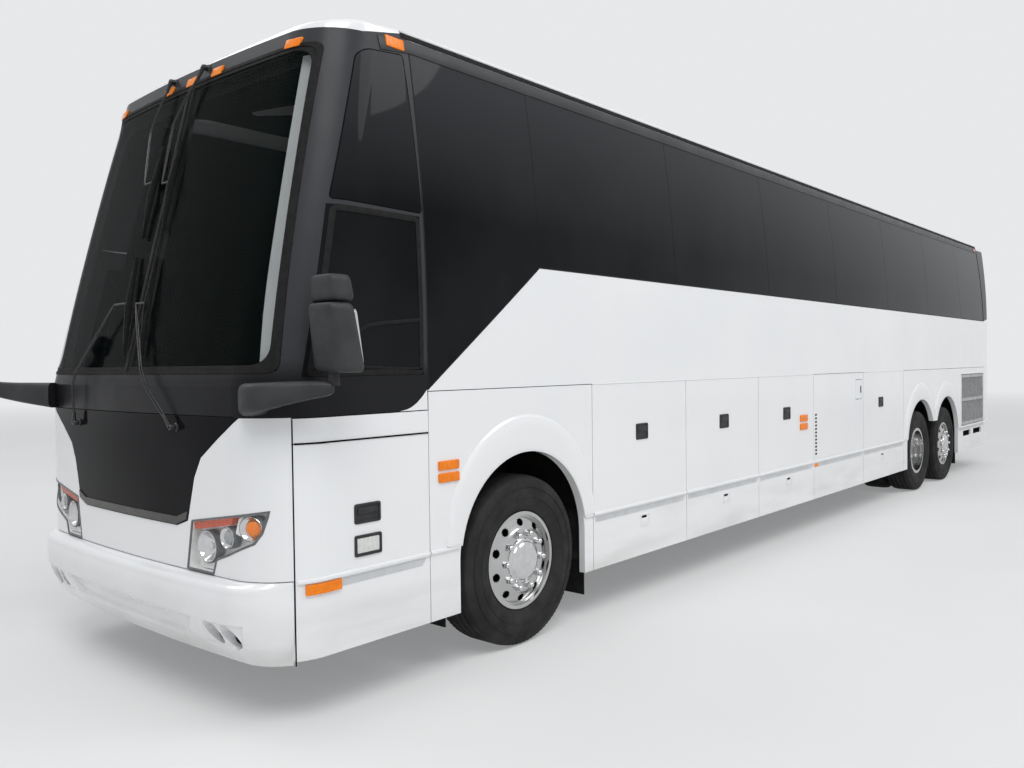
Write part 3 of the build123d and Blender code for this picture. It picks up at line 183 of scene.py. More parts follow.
def surface(name, tones, rough, scale=8.0, grain=None, stretch=None, **plain):
    """A finish of two tones and a roughness range; the fine grain, if any, is (scale, strength, depth)."""
    material, tree, shader, place = new_finish(name)
    cloud = noise(tree, place, scale, stretch=stretch)
    tree.links.new(mix_colour(tree, spread(tree, cloud, 0.35, 0.65), *tones), shader.inputs["Base Color"])
    tree.links.new(spread(tree, noise(tree, place, scale * 2.7), 0.3, 0.7, *rough),
                   shader.inputs["Roughness"])
    for key, value in plain.items():
        shader.inputs[key.replace("_", " ")].default_value = value
    if grain:
        bump(tree, shader, noise(tree, place, grain[0], 2.0, stretch), grain[1], grain[2])
    return material


def white_paint():
    """Gloss white, slightly greyed by road dust that thickens below the doors' rail."""
    material, tree, shader, place = new_finish("gloss_white_paint")
    clean = mix_colour(tree, spread(tree, noise(tree, place, 0.7), 0.35, 0.65), (0.80, 0.81, 0.82),
                       (0.84, 0.845, 0.85))
    low = spread(tree, height_of(tree, place), 0.30, 0.75, 0.55, 0.0)
    streaks = spread(tree, noise(tree, place, 2.2, 6.0, (1.0, 0.5, 3.0)), 0.42, 0.75)
    dusty = mix_colour(tree, combine(tree, "MULTIPLY", low, streaks), clean, (0.50, 0.48, 0.45))
    tree.links.new(dusty, shader.inputs["Base Color"])
    tree.links.new(spread(tree, noise(tree, place, 5.0), 0.3, 0.7, 0.12, 0.22), shader.inputs["Roughness"])
    shader.inputs["Coat Weight"].default_value = 0.6
    shader.inputs["Coat Roughness"].default_value = 0.04
    bump(tree, shader, noise(tree, place, 180.0, 1.0), 0.04, 0.0006)
    return material


WHITE = white_paint()
BLACK_GLOSS = surface("gloss_black_panel", ((0.006, 0.006, 0.007), (0.009, 0.009, 0.010)), (0.06, 0.12), 2.0,
                      (40.0, 0.02, 0.001), Specular_IOR_Level=0.05)


def banded(name, levels, low_tone, high_tone, rough, level, grain):
    """A finish whose tone eases from one to another between two heights, under noise and a fine grain."""
    material, tree, shader, place = new_finish(name)
    rise = spread(tree, height_of(tree, place), *levels)
    tone = mix_colour(tree, rise, low_tone, high_tone)
    cloud = spread(tree, noise(tree, place, 1.3), 0.3, 0.7, 0.0, 0.25)
    tree.links.new(mix_colour(tree, cloud, tone, high_tone), shader.inputs["Base Color"])
    tree.links.new(spread(tree, noise(tree, place, 5.0), 0.3, 0.7, *rough), shader.inputs["Roughness"])
    shader.inputs["Specular IOR Level"].default_value = level
    bump(tree, shader, noise(tree, place, grain[0], 2.0), grain[1], grain[2])
    return material


DARK_CAP = banded("satin_graphite_paint", (1.66, 1.76), (0.005, 0.005, 0.006), (0.040, 0.041, 0.045),
                  (0.26, 0.36), 0.12, (260.0, 0.06, 0.0005))
# Side glass: near black low down, easing to a lighter grey towards the top; the lighter upper band is a
# painted reflection of the sky, not a tint of the glass.
SIDE_GLASS = banded("dark_tinted_side_glass", (2.55, 3.35), (0.003, 0.004, 0.005), (0.034, 0.035, 0.038),
                    (0.02, 0.04), 0.06, (0.8, 0.06, 0.01))
RUBBER = surface("black_seal_rubber", ((0.010, 0.010, 0.010), (0.016, 0.016, 0.016)), (0.55, 0.75), 30.0,
                 (400.0, 0.10, 0.0003), Specular_IOR_Level=0.12)
PLASTIC = surface("grained_black_plastic", ((0.022, 0.022, 0.024), (0.032, 0.032, 0.034)), (0.42, 0.58), 20.0,
                  (700.0, 0.35, 0.0005), Specular_IOR_Level=0.3)
MIRROR_GREY = surface("grained_dark_grey_plastic", ((0.024, 0.025, 0.027), (0.034, 0.035, 0.038)),
                      (0.45, 0.6), 9.0,
                      (600.0, 0.4, 0.0006), Specular_IOR_Level=0.35)
CHASSIS = surface("black_chassis_coat", ((0.018, 0.018, 0.018), (0.055, 0.050, 0.044)), (0.6, 0.85), 6.0,
                  (60.0, 0.3, 0.002), Specular_IOR_Level=0.2)
LINER = surface("dusty_arch_liner", ((0.012, 0.012, 0.012), (0.035, 0.033, 0.030)), (0.75, 0.95), 5.0,
                (120.0, 0.4, 0.002), Specular_IOR_Level=0.1)
FLOOR_PANEL = surface("grey_floor_covering", ((0.03, 0.03, 0.032), (0.05, 0.05, 0.052)), (0.6, 0.8), 20.0,
                      (500.0, 0.2, 0.0005))
CAST = surface("rough_cast_iron", ((0.05, 0.048, 0.045), (0.11, 0.10, 0.09)), (0.6, 0.8), 14.0,
               (90.0, 0.5, 0.002), Metallic=0.6)
TYRE_RUBBER = surface("tyre_rubber", ((0.016, 0.016, 0.016), (0.030, 0.029, 0.028)), (0.65, 0.85), 7.0,
                      (160.0, 0.25, 0.001), Specular_IOR_Level=0.2)
POLISHED = surface("polished_aluminium", ((0.48, 0.48, 0.48), (0.53, 0.53, 0.53)), (0.15, 0.20), 3.0,
                   (220.0, 0.02, 0.0003), Metallic=1.0)
CHROME = surface("bright_chrome", ((0.60, 0.60, 0.61), (0.66, 0.66, 0.67)), (0.03, 0.07), 25.0, Metallic=1.0)
# Headlamp tray: silver, but its near-white, barely metallic tone is also a painted reflection that stands in
# for bright chrome and lifts the shade inside the tray.
LAMP_GREY = surface("silver_lamp_housing", ((0.84, 0.84, 0.83), (0.92, 0.92, 0.91)), (0.14, 0.22), 40.0,
                    (300.0, 0.05, 0.0004), Metallic=0.15)
FROSTED = surface("frosted_lens", ((0.62, 0.62, 0.60), (0.70, 0.70, 0.68)), (0.10, 0.18), 50.0,
                  (200.0, 0.2, 0.001),
                  Coat_Weight=0.5)
AMBER = surface("amber_lens", ((0.84, 0.19, 0.004), (0.92, 0.25, 0.008)), (0.15, 0.25), 60.0,
                (140.0, 0.3, 0.0015),
                Specular_IOR_Level=0.3)
AMBER_RED = surface("red_amber_lens", ((0.55, 0.07, 0.02), (0.65, 0.10, 0.03)), (0.15, 0.25), 60.0,
                    (140.0, 0.3, 0.0015),
                    Specular_IOR_Level=0.3)
RED = surface("red_lens", ((0.42, 0.006, 0.008), (0.55, 0.012, 0.012)), (0.12, 0.2), 60.0,
              (140.0, 0.3, 0.0015),
              Coat_Weight=0.6)
INSIDE_PALE = surface("pale_cab_lining", ((0.78, 0.84, 0.84), (0.86, 0.90, 0.90)), (0.5, 0.65), 3.0,
                      (300.0, 0.2, 0.0006))
INSIDE_DARK = surface("charcoal_cabin_lining", ((0.007, 0.007, 0.008), (0.012, 0.012, 0.013)), (0.7, 0.85),
                      12.0,
                      (400.0, 0.3, 0.0008), Specular_IOR_Level=0.05)
GROOVE_GREY = surface("recessed_grey_strip", ((0.52, 0.53, 0.54), (0.58, 0.59, 0.60)), (0.35, 0.5), 12.0,
                      (200.0, 0.1, 0.0006))
GRILLE_GREY = surface("grey_grille_coat", ((0.36, 0.365, 0.37), (0.48, 0.485, 0.49)), (0.4, 0.55), 15.0,
                      (200.0, 0.2, 0.0008), Metallic=0.3)
SHEET_GREY = surface("grey_primed_sheet", ((0.10, 0.10, 0.105), (0.15, 0.15, 0.15)), (0.55, 0.75), 5.0,
                     (70.0, 0.2, 0.001), Metallic=0.2)
# Near-black for shut lines and seams, and for plates of painted shade set in duct floors, slots, vents, pull
# recesses and behind the engine door's slats.
SHADOW = surface("dark_shut_line", ((0.006, 0.006, 0.006), (0.010, 0.010, 0.010)), (0.8, 0.9), 30.0,
                 Specular_IOR_Level=0.0)
LAMP_RIM = surface("grey_lamp_rim", ((0.10, 0.105, 0.11), (0.14, 0.145, 0.15)), (0.3, 0.4), 40.0,
                   (300.0, 0.05, 0.0004))
FOOT_TRIM = surface("dark_bronze_trim", ((0.030, 0.030, 0.026), (0.050, 0.050, 0.044)), (0.25, 0.35), 9.0,
                    (300.0, 0.1, 0.0004))


def tinted_glass(name, tint, alpha, level):
    """Glass as a thin tinted film: its own dark tone and gloss over what lies behind, gently wavy."""
    material, tree, shader, place = new_finish(name)
    tone = mix_colour(tree, spread(tree, noise(tree, place, 0.9), 0.3, 0.7), tint,
                      tuple(c * 0.8 for c in tint))
    tree.links.new(tone, shader.inputs["Base Color"])
    shader.inputs["Roughness"].default_value = 0.01
    shader.inputs["Specular IOR Level"].default_value = level
    shader.inputs["Alpha"].default_value = alpha
    bump(tree, shader, noise(tree, place, 1.1, 1.0), 0.05, 0.01)
    return material


WINDSHIELD = tinted_glass("green_tinted_windshield_glass", (0.004, 0.008, 0.007), 0.22, 0.06)
LAMP_COVER = tinted_glass("clear_lamp_cover", (0.75, 0.77, 0.78), 0.04, 0.3)
LENS_GLASS = surface("projector_lens_glass", ((0.30, 0.32, 0.33), (0.38, 0.40, 0.41)), (0.02, 0.05), 20.0,
                     Metallic=0.6)
WIPER_METAL = surface("black_wiper_enamel", ((0.022, 0.022, 0.024), (0.036, 0.036, 0.038)), (0.22, 0.34),
                      60.0,
                      (500.0, 0.1, 0.0003), Metallic=0.4)
RAIL_GREY = surface("satin_grey_rail", ((0.036, 0.037, 0.040), (0.048, 0.049, 0.052)), (0.30, 0.40), 4.0,
                    (300.0, 0.05, 0.0004), Specular_IOR_Level=0.2)


def cloth(name, first, second):
    """A woven seat cloth: two crossed wave patterns give the weave, noise the shade."""
    material, tree, shader, place = new_finish(name)
    waves = []
    for direction in ("X", "Z"):
        wave = tree.nodes.new("ShaderNodeTexWave")
        wave.bands_direction = direction
        wave.inputs["Scale"].default_value = 260.0
        wave.inputs["Distortion"].default_value = 0.6
        tree.links.new(place, wave.inputs["Vector"])
        waves.append(wave.outputs["Fac"])
    weave = combine(tree, "MULTIPLY", *waves)
    shade = combine(tree, "ADD", combine(tree, "MULTIPLY", weave, 0.5),
                    combine(tree, "MULTIPLY", noise(tree, place, 9.0), 0.6))
    tree.links.new(mix_colour(tree, shade, first, second), shader.inputs["Base Color"])
    shader.inputs["Roughness"].default_value = 0.9
    shader.inputs["Sheen Weight"].default_value = 0.4
    bump(tree, shader, weave, 0.3, 0.0008)
    return material


SEAT_CLOTH = cloth("woven_blue_grey_cloth", (0.035, 0.042, 0.065), (0.075, 0.085, 0.115))


def dress(material, *names):
    """Gives CAD nodes a material in every slot."""
    for name in names:
        mesh = nodes[name].data
        mesh.materials.clear()
        mesh.materials.append(material)


BAY_DOORS = ["bay_door_%s_%d" % (side, i) for side, _ in SIDES for i in (1, 2, 3)]
BAY_DOORS += ["rear_bay_door_left", "rear_bay_door_right"]
dress(WHITE, "roof_shell", "side_walls", "skirts", "nose_panel", "front_bumper", "rear_cap", "rear_bumper",
      "service_door", "filler_flap", "engine_door", *BAY_DOORS)
dress(DARK_CAP, "front_cap", "entry_door")
dress(BLACK_GLOSS, "nose_mask")
dress(SIDE_GLASS, "side_glass", "rear_window", "entry_door_glass")
dress(WINDSHIELD, "windshield")
dress(RUBBER, "mud_flaps")
dress(CHASSIS, "underframe", "bay_floor")
dress(LINER, "wheel_housings")
dress(SHEET_GREY, "bulkheads")
dress(FLOOR_PANEL, "floor_deck")
dress(CAST, "engine_block", "front_axle", "rear_axles", "knuckle_left", "knuckle_right")
dress(INSIDE_DARK, "dashboard", "parcel_racks")
dress(GRILLE_GREY, "radiator_door_left", "radiator_door_right")


# Body surface
def edge_centre():
    """Centre (x, z) of the roof's edge curve: where circles about the lean's and the crown's centres meet."""
    lean, crown = LEAN_RADIUS - ROOF_EDGE, CROWN_RADIUS - ROOF_EDGE
    lean_at = np.array([HALF_WIDTH - LEAN_RADIUS, LEAN_Z])
    crown_at = np.array([0.0, HEIGHT - CROWN_RADIUS])
    gap = crown_at - lean_at
    span = np.linalg.norm(gap)
    reach = (span**2 + lean**2 - crown**2) / (2 * span)
    rise = math.sqrt(lean**2 - reach**2)
    along = gap / span
    return lean_at + reach * along + rise * np.array([-along[1], along[0]])


EDGE_X, EDGE_Z = edge_centre()
EDGE_START = LEAN_Z + (EDGE_Z - LEAN_Z) * LEAN_RADIUS / (LEAN_RADIUS - ROOF_EDGE)


def side_x(z):
    """Half width at a height: upright, then leaning inwards on a large circle, then round the roof's edge."""
    z = np.asarray(z, float)
    lean = HALF_WIDTH - LEAN_RADIUS + np.sqrt(LEAN_RADIUS**2 - np.maximum(z - LEAN_Z, 0.0) ** 2)
    rise = np.clip((z - EDGE_Z) / ROOF_EDGE, -0.999, 0.999)
    return np.where(z > EDGE_START, EDGE_X + ROOF_EDGE * np.sqrt(1 - rise**2), lean)


def corner_centre(z):
    """Centre (x, y) of the nose corner's curve at a height, which moves back with the rake."""
    z = np.asarray(z, float)
    x = side_x(z) + 0.001 - NOSE_CORNER
    y = NOSE_Y + NOSE_RADIUS - np.sqrt((NOSE_RADIUS - NOSE_CORNER) ** 2 - x**2)
    return x, y + np.maximum(z - RAKE_Z, 0.0) * RAKE


def nose_y(x, z):
    """Front surface: from above a bowed circle that runs into a corner circle, raked back above its foot."""
    x, z = np.abs(np.asarray(x, float)), np.asarray(z, float)
    corner_x, corner_y = corner_centre(z)
    bow = NOSE_Y + NOSE_RADIUS - np.sqrt(NOSE_RADIUS**2 - x**2) + np.maximum(z - RAKE_Z, 0.0) * RAKE
    over = np.clip(x - corner_x, 0.0, NOSE_CORNER * 0.999)
    bend = corner_y - np.sqrt(NOSE_CORNER**2 - over**2)
    return np.where(x > corner_x * NOSE_RADIUS / (NOSE_RADIUS - NOSE_CORNER), bend, bow)


def on_side(sign):
    """Maps (y, z, outward) onto a side wall and round the nose's corner, outward along its radius."""
    def place(u, v, w):
        """One point for each (y, z, outward)."""
        u, v, w = np.broadcast_arrays(*(np.asarray(a, float) for a in (u, v, w)))
        corner_x, corner_y = corner_centre(v)
        turn = np.clip((corner_y - u) / NOSE_CORNER, 0.0, 0.99)
        bend = corner_x + (NOSE_CORNER + w) * np.sqrt(1 - turn**2)
        x = np.where(u < corner_y, bend, side_x(v) + w)
        return np.stack([sign * x, u - w * turn, v], -1)
    return place


def on_nose(u, v, w):
    """Maps (x, z, outward) onto the nose."""
    return np.stack([u, nose_y(u, v) - w, v], -1)


def round_nose(s, z, w):
    """Maps (arc length from the middle, z, outward) round the nose: along bow, corner and side."""
    s, z, w = np.broadcast_arrays(*(np.asarray(a, float) for a in (s, z, w)))
    corner_x, corner_y = corner_centre(z)
    meet = np.arcsin(corner_x / (NOSE_RADIUS - NOSE_CORNER))
    bow = NOSE_RADIUS * meet
    run = np.abs(s)
    on_bow = run < bow
    angle = np.where(on_bow, run / NOSE_RADIUS, np.minimum(meet + (run - bow) / NOSE_CORNER, math.pi / 2))
    past = np.maximum(run - bow - NOSE_CORNER * (math.pi / 2 - meet), 0.0)
    radius = np.where(on_bow, NOSE_RADIUS, NOSE_CORNER) + w
    bow_y = NOSE_Y + NOSE_RADIUS + np.maximum(z - RAKE_Z, 0.0) * RAKE
    x = np.where(on_bow, 0.0, corner_x) + radius * np.sin(angle)
    y = np.where(on_bow, bow_y, corner_y) - radius * np.cos(angle) + past
    return np.stack([np.sign(s) * x, y, z], -1)


def on_tail(u, v, w):
    """Maps (x, z, outward) onto the flat tail."""
    return np.stack([u, TAIL_Y + w, v], -1)


TAIL_CORNER = 0.25


def round_tail(s, z, w):
    """Maps (arc length from the tail's middle, z, outward) round its corner, held inside the leaning side."""
    s, z, w = np.broadcast_arrays(*(np.asarray(a, float) for a in (s, z, w)))
    corner_x = HALF_WIDTH + 0.001 - TAIL_CORNER
    run = np.abs(s) - corner_x
    angle = np.clip(run / TAIL_CORNER, 0, math.pi / 2)
    past = np.maximum(run - TAIL_CORNER * math.pi / 2, 0)
    x = np.where(run > 0, corner_x + (TAIL_CORNER + w) * np.sin(angle), np.abs(s))
    y = TAIL_Y - TAIL_CORNER + (TAIL_CORNER + w) * np.cos(angle) - past
    return np.stack([np.sign(s) * np.minimum(x, side_x(z) + w), y, z], -1)


# Mesh makers
def finished(mesh_data, name, material, body, slot, smooth=35):
    """Links a mesh as a piece, makes its faces point outwards and lets it ride on a body."""
    mesh = bpy.data.meshes.new(name)
    mesh.from_pydata(*mesh_data)
    editing = bmesh.new()
    editing.from_mesh(mesh)
    bmesh.ops.remove_doubles(editing, verts=editing.verts, dist=1e-6)
    bmesh.ops.recalc_face_normals(editing, faces=editing.faces)
    editing.to_mesh(mesh)
    editing.free()
    mesh.shade_smooth()
    mesh.set_sharp_from_angle(angle=math.radians(smooth))
    mesh.materials.append(material)
    piece = bpy.data.objects.new(name, mesh)
    bpy.context.scene.collection.objects.link(piece)
    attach(piece, body)
    return piece


def grid_faces(rows, columns, close_rows=False, close_columns=False):
    """Quads of a rows by columns grid of points, closed round either way."""
    r = np.arange(rows if close_rows else rows - 1)
    c = np.arange(columns if close_columns else columns - 1)
    r, c = np.meshgrid(r, c, indexing="ij")
    r1, c1 = (r + 1) % rows, (c + 1) % columns
    quads = np.stack([r * columns + c, r * columns + c1, r1 * columns + c1, r1 * columns + c], -1)
    return quads.reshape(-1, 4)


def joined(parts):
    """Several (vertices, faces) sets as one."""
    vertices, faces, start = [], [], 0
    for points, quads in parts:
        points = np.asarray(points, float).reshape(-1, 3)
        vertices.append(points)
        faces += [tuple(int(i) + start for i in quad) for quad in quads]
        start += len(points)
    return np.concatenate(vertices).tolist(), [], faces


def grid(points, close_rows=False, close_columns=False, caps=True):
    """A (rows, columns, 3) array as a surface; open ends of a tube get a face each."""
    rows, columns = points.shape[:2]
    faces = [tuple(q) for q in grid_faces(rows, columns, close_rows, close_columns)]
    if caps and close_columns and not close_rows:
        faces.append(tuple(range(columns)))
        faces.append(tuple((rows - 1) * columns + i for i in range(columns)))
    return points.reshape(-1, 3), faces


def unit(vectors):
    """Rows scaled to a length of one."""
    return vectors / np.linalg.norm(vectors, axis=1, keepdims=True)


def signed_turn(outline):
    """One where a closed outline runs anticlockwise, minus one where it runs clockwise."""
    area = np.sum(outline[:, 0] * np.roll(outline[:, 1], -1) - np.roll(outline[:, 0], -1) * outline[:, 1])
    return 1.0 if area > 0 else -1.0


def inset(outline, by):
    """A closed outline with each edge moved inwards, its corners mitred."""
    outline = np.asarray(outline, float)
    ahead = unit(np.roll(outline, -1, 0) - outline)
    behind = np.roll(ahead, 1, 0)
    turn = signed_turn(outline)
    normal_a = turn * np.stack([-ahead[:, 1], ahead[:, 0]], -1)
    normal_b = turn * np.stack([-behind[:, 1], behind[:, 0]], -1)
    middle = normal_a + normal_b
    return outline + by * middle / (1.0 + np.sum(normal_a * normal_b, 1, keepdims=True))


def rounded(outline, radius, steps=5):
    """A closed outline whose corners are quadratic curves that start one radius from each corner."""
    outline = np.asarray(outline, float)
    before, after = np.roll(outline, 1, 0), np.roll(outline, -1, 0)
    radius = np.broadcast_to(np.asarray(radius, float), (len(outline),))[:, None]
    start = outline + (before - outline) * radius / np.linalg.norm(before - outline, axis=1, keepdims=True)
    end = outline + (after - outline) * radius / np.linalg.norm(after - outline, axis=1, keepdims=True)
    t = np.linspace(0, 1, steps)[None, :, None]
    return (start[:, None] * (1 - t) ** 2 + 2 * outline[:, None] * t * (1 - t) + end[:, None]
            * t**2).reshape(-1, 2)


def box_outline(left, right, low, high, corner):
    """A rectangle with rounded corners."""
    return rounded([(left, low), (right, low), (right, high), (left, high)], corner)


def rolled_rim(low, high, edge):
    """(Inset, level) from the low level up and round a quarter circle onto the high level."""
    turns = np.linspace(0, math.pi / 2, 4)
    return [(0.0, low)] + [(edge * (1 - math.cos(t)), high - edge * (1 - math.sin(t))) for t in turns]


def placed(outline, levels, place):
    """One ring of points for each (inset, level), on the surface that place gives."""
    rings = [(inset(outline, shrink), level) for shrink, level in levels]
    return np.array([place(ring[:, 0], ring[:, 1], np.full(len(ring), level)) for ring, level in rings])


def plate(outline, low, high, place, edge=0.002):
    """A plate over an outline from the low to the high level, its upper rim rounded over by the edge."""
    return grid(placed(outline, rolled_rim(low, high, edge), place), close_columns=True)


def frame_plate(outline, width, low, high, place, edge=0.0015):
    """A flat ring along an outline, its inner edge a width inside, with both upper rims rounded over."""
    outer = rolled_rim(low, high, edge)
    inner = [(width - shrink, level) for shrink, level in reversed(outer)]
    return grid(placed(outline, outer + inner, place), close_rows=True, close_columns=True)


def strip(path, width, low, high, place, edge=0.0015):
    """A moulding along an open line of (u, v) points, with rounded upper rims."""
    path = np.asarray(path, float)
    tangent = unit(np.gradient(path, axis=0))
    side = np.stack([-tangent[:, 1], tangent[:, 0]], -1)
    turns = np.linspace(0, math.pi / 2, 3)
    rim = [(width / 2 - edge * (1 - math.cos(t)), high - edge * (1 - math.sin(t))) for t in turns]
    half = [(width / 2, low)] + rim
    profile = half + [(-across, level) for across, level in reversed(half)]
    points = []
    for across, level in profile:
        line = path + side * across
        points.append(place(line[:, 0], line[:, 1], np.full(len(line), level)))
    return grid(np.array(points).transpose(1, 0, 2), close_columns=True)


def line(start, end, count=2):
    """Points on a straight line."""
    return np.linspace(np.asarray(start, float), np.asarray(end, float), count)


def tube(path, radius, sides=10, flat=1.0):
    """A round bar along 3-D points; the ring's axes come from the path's tangent and a fixed upright."""
    path = np.asarray(path, float)
    tangent = unit(np.gradient(path, axis=0))
    mean = np.abs(tangent).mean(0)
    guide = np.eye(3)[int(np.argmin(mean))]
    first = unit(np.cross(tangent, guide))
    second = np.cross(tangent, first)
    a = np.linspace(0, 2 * math.pi, sides, endpoint=False)
    radius = np.broadcast_to(np.asarray(radius, float), (len(path),))[:, None, None]
    ring = first[:, None] * np.cos(a)[None, :, None] + flat * second[:, None] * np.sin(a)[None, :, None]
    return grid(path[:, None] + radius * ring, close_columns=True)


def turned(profile, centre, segments=72, sign=1, start=0.0):
    """A profile of (x, radius) turned about an X axis through the centre; sign mirrors it across."""
    profile = np.asarray(profile, float)
    a = np.linspace(0, 2 * math.pi, segments, endpoint=False) + start
    x = centre[0] + profile[:, 0][:, None] + 0 * a
    y = centre[1] + profile[:, 1][:, None] * np.cos(a)
    z = centre[2] + profile[:, 1][:, None] * np.sin(a)
    return grid(np.stack([sign * x, y, z], -1), close_columns=True, caps=False)


def bowl(centre, profile, segments=40, tilt=None):
    """A profile of (forward, radius) turned about an axis that looks forward from the centre."""
    profile = np.asarray(profile, float)
    a = np.linspace(0, 2 * math.pi, segments, endpoint=False)
    x = centre[0] + profile[:, 1][:, None] * np.cos(a)
    z = centre[2] + profile[:, 1][:, None] * np.sin(a)
    y = centre[1] - profile[:, 0][:, None] + 0 * a
    points = np.stack([x, y, z], -1)
    if tilt:
        points[..., 1] += (points[..., 0] - centre[0]) * tilt
    return grid(points, close_columns=True, caps=False)


def mirror_of(part):
    """The same part on the right side."""
    points, faces = part
    return points * np.array([-1.0, 1.0, 1.0]), faces


def both(parts):
    """Parts of the left side with their mirror images."""
    return parts + [mirror_of(part) for part in parts]


def build(name, parts, material, body, slot, smooth=35):
    """Joins several parts and links them as one piece."""
    return finished(joined(parts), name, material, body, slot, smooth)


ROOT = "coach"


def resample(outline, step):
    """Adds points along a closed outline so that no side is longer than the step."""
    outline = np.asarray(outline, float)
    points = []
    for start, end in zip(outline, np.roll(outline, -1, 0)):
        count = max(1, int(math.ceil(np.linalg.norm(end - start) / step)))
        points.append(np.linspace(start, end, count, endpoint=False))
    return np.concatenate(points)


def smooth_curve(values_at, knots, values):
    """Cubic curve through the knots, its slope at each one taken from its neighbours."""
    knots, values = np.asarray(knots, float), np.asarray(values, float)
    values_at = np.asarray(values_at, float)
    slopes = np.gradient(values, knots)
    i = np.clip(np.searchsorted(knots, values_at) - 1, 0, len(knots) - 2)
    h = knots[i + 1] - knots[i]
    t = (values_at - knots[i]) / h
    return ((1 + 2 * t) * (1 - t) ** 2 * values[i] + t * (1 - t) ** 2 * h * slopes[i]
            + t * t * (3 - 2 * t) * values[i + 1] + t * t * (t - 1) * h * slopes[i + 1])


def curve_through(points, count):
    """A smooth line through points of any dimension, its parameter the distance along them."""
    points = np.asarray(points, float)
    run = np.concatenate([[0], np.cumsum(np.linalg.norm(np.diff(points, axis=0), axis=1))])
    t = np.linspace(0, run[-1], count)
    return np.stack([smooth_curve(t, run, points[:, k]) for k in range(points.shape[1])], -1)


def inside_depth(x, z, outline, depth, edge):
    """A hollow in an outline of straight sides: its depth eases from its rim over the edge's width."""
    outline = np.asarray(outline, float)
    turn = signed_turn(outline)
    reach = np.full(np.broadcast(x, z).shape, 1e9)
    for a, b in zip(outline, np.roll(outline, -1, 0)):
        run = (b - a) / np.linalg.norm(b - a)
        reach = np.minimum(reach, turn * (run[0] * (z - a[1]) - run[1] * (x - a[0])))
    t = np.clip(reach / edge, 0, 1)
    return depth * t * t * (3 - 2 * t)


def band(outer, inner, low, high, place):
    """A flat ring between two outlines of as many points, closed to the low level at both rims."""
    outer, inner = np.asarray(outer, float), np.asarray(inner, float)
    rings = [(outer, low), (outer, high), (inner, high), (inner, low)]
    points = np.array([place(r[:, 0], r[:, 1], np.full(len(r), l)) for r, l in rings])
    return grid(points, close_rows=True, close_columns=True)


def patch(first, second, low, high, place, across=12):
    """A closed plate that follows a curved surface: rows run between two lines of as many points."""
    first, second = np.asarray(first, float), np.asarray(second, float)
    t = np.linspace(0, 1, across)[None, :, None]
    face = first[:, None] * (1 - t) + second[:, None] * t
    top = place(face[..., 0], face[..., 1], np.full(face.shape[:2], high))
    back = place(face[..., 0], face[..., 1], np.full(face.shape[:2], low))
    return grid(np.concatenate([top, back[:, ::-1]], 1), close_columns=True)


def lower_and_upper(outline, count):
    """A closed outline's lower and upper edge as functions of its first coordinate, at as many places."""
    outline = resample(outline, 0.004)
    u = np.linspace(outline[:, 0].min() + 0.0005, outline[:, 0].max() - 0.0005, count)
    ring = np.concatenate([outline, outline[:1]])
    cuts = []
    for value in u:
        crossing = (ring[:-1, 0] - value) * (ring[1:, 0] - value) <= 0
        a, b = ring[:-1][crossing], ring[1:][crossing]
        gap = b[:, 0] - a[:, 0]
        share = np.where(np.abs(gap) < 1e-9, 0.5, (value - a[:, 0]) / np.where(np.abs(gap) < 1e-9, 1, gap))
        heights = a[:, 1] + share * (b[:, 1] - a[:, 1])
        cuts.append((heights.min(), heights.max()))
    cuts = np.array(cuts)
    return np.stack([u, cuts[:, 0]], -1), np.stack([u, cuts[:, 1]], -1)


def signed_power(value, power):
    """The size of a value to a power, with the value's own sign."""
    return np.sign(value) * np.abs(value) ** power


def super_ring(centre, half, power, count=28):
    """A rounded rectangle in X and Y as a superellipse: cosine and sine, each to the power 2/p."""
    a = np.linspace(0, 2 * math.pi, count, endpoint=False)
    x = signed_power(np.cos(a), 2 / power) * half[0]
    y = signed_power(np.sin(a), 2 / power) * half[1]
    return np.stack([centre[0] + x, centre[1] + y, np.full(count, centre[2])], -1)


def stand_for(piece, *names):
    """The piece is shown in place of the named CAD nodes."""
    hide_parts(*names)
    return piece


def side_plate(sign, front, rear, low, high, base, top, corner=0.01, edge=0.003):
    """A plate with rounded corners on a side wall, between two stations and two heights."""
    outline = box_outline(at(front), at(rear), low, high, corner)
    return plate(resample(outline, 0.05), base, top, on_side(sign), edge)


# Floor and light
BACKDROP = (0.80, 0.81, 0.82)
FLOOR_TONE = (0.80, 0.80, 0.79)
FLOOR_HALF = 90
FADE_START, FADE_END = 11.0, 42.0
SKY_TONE, SKY_STRENGTH = (0.86, 0.88, 0.92), 0.55


def seen_rays(tree):
    """One for rays from the camera, off a mirror-like surface or through glass, else nought."""
    rays = tree.nodes.new("ShaderNodeLightPath")
    mirrored = combine(tree, "MAXIMUM", rays.outputs["Is Glossy Ray"], rays.outputs["Is Transmission Ray"])
    return combine(tree, "MAXIMUM", rays.outputs["Is Camera Ray"], mirrored)


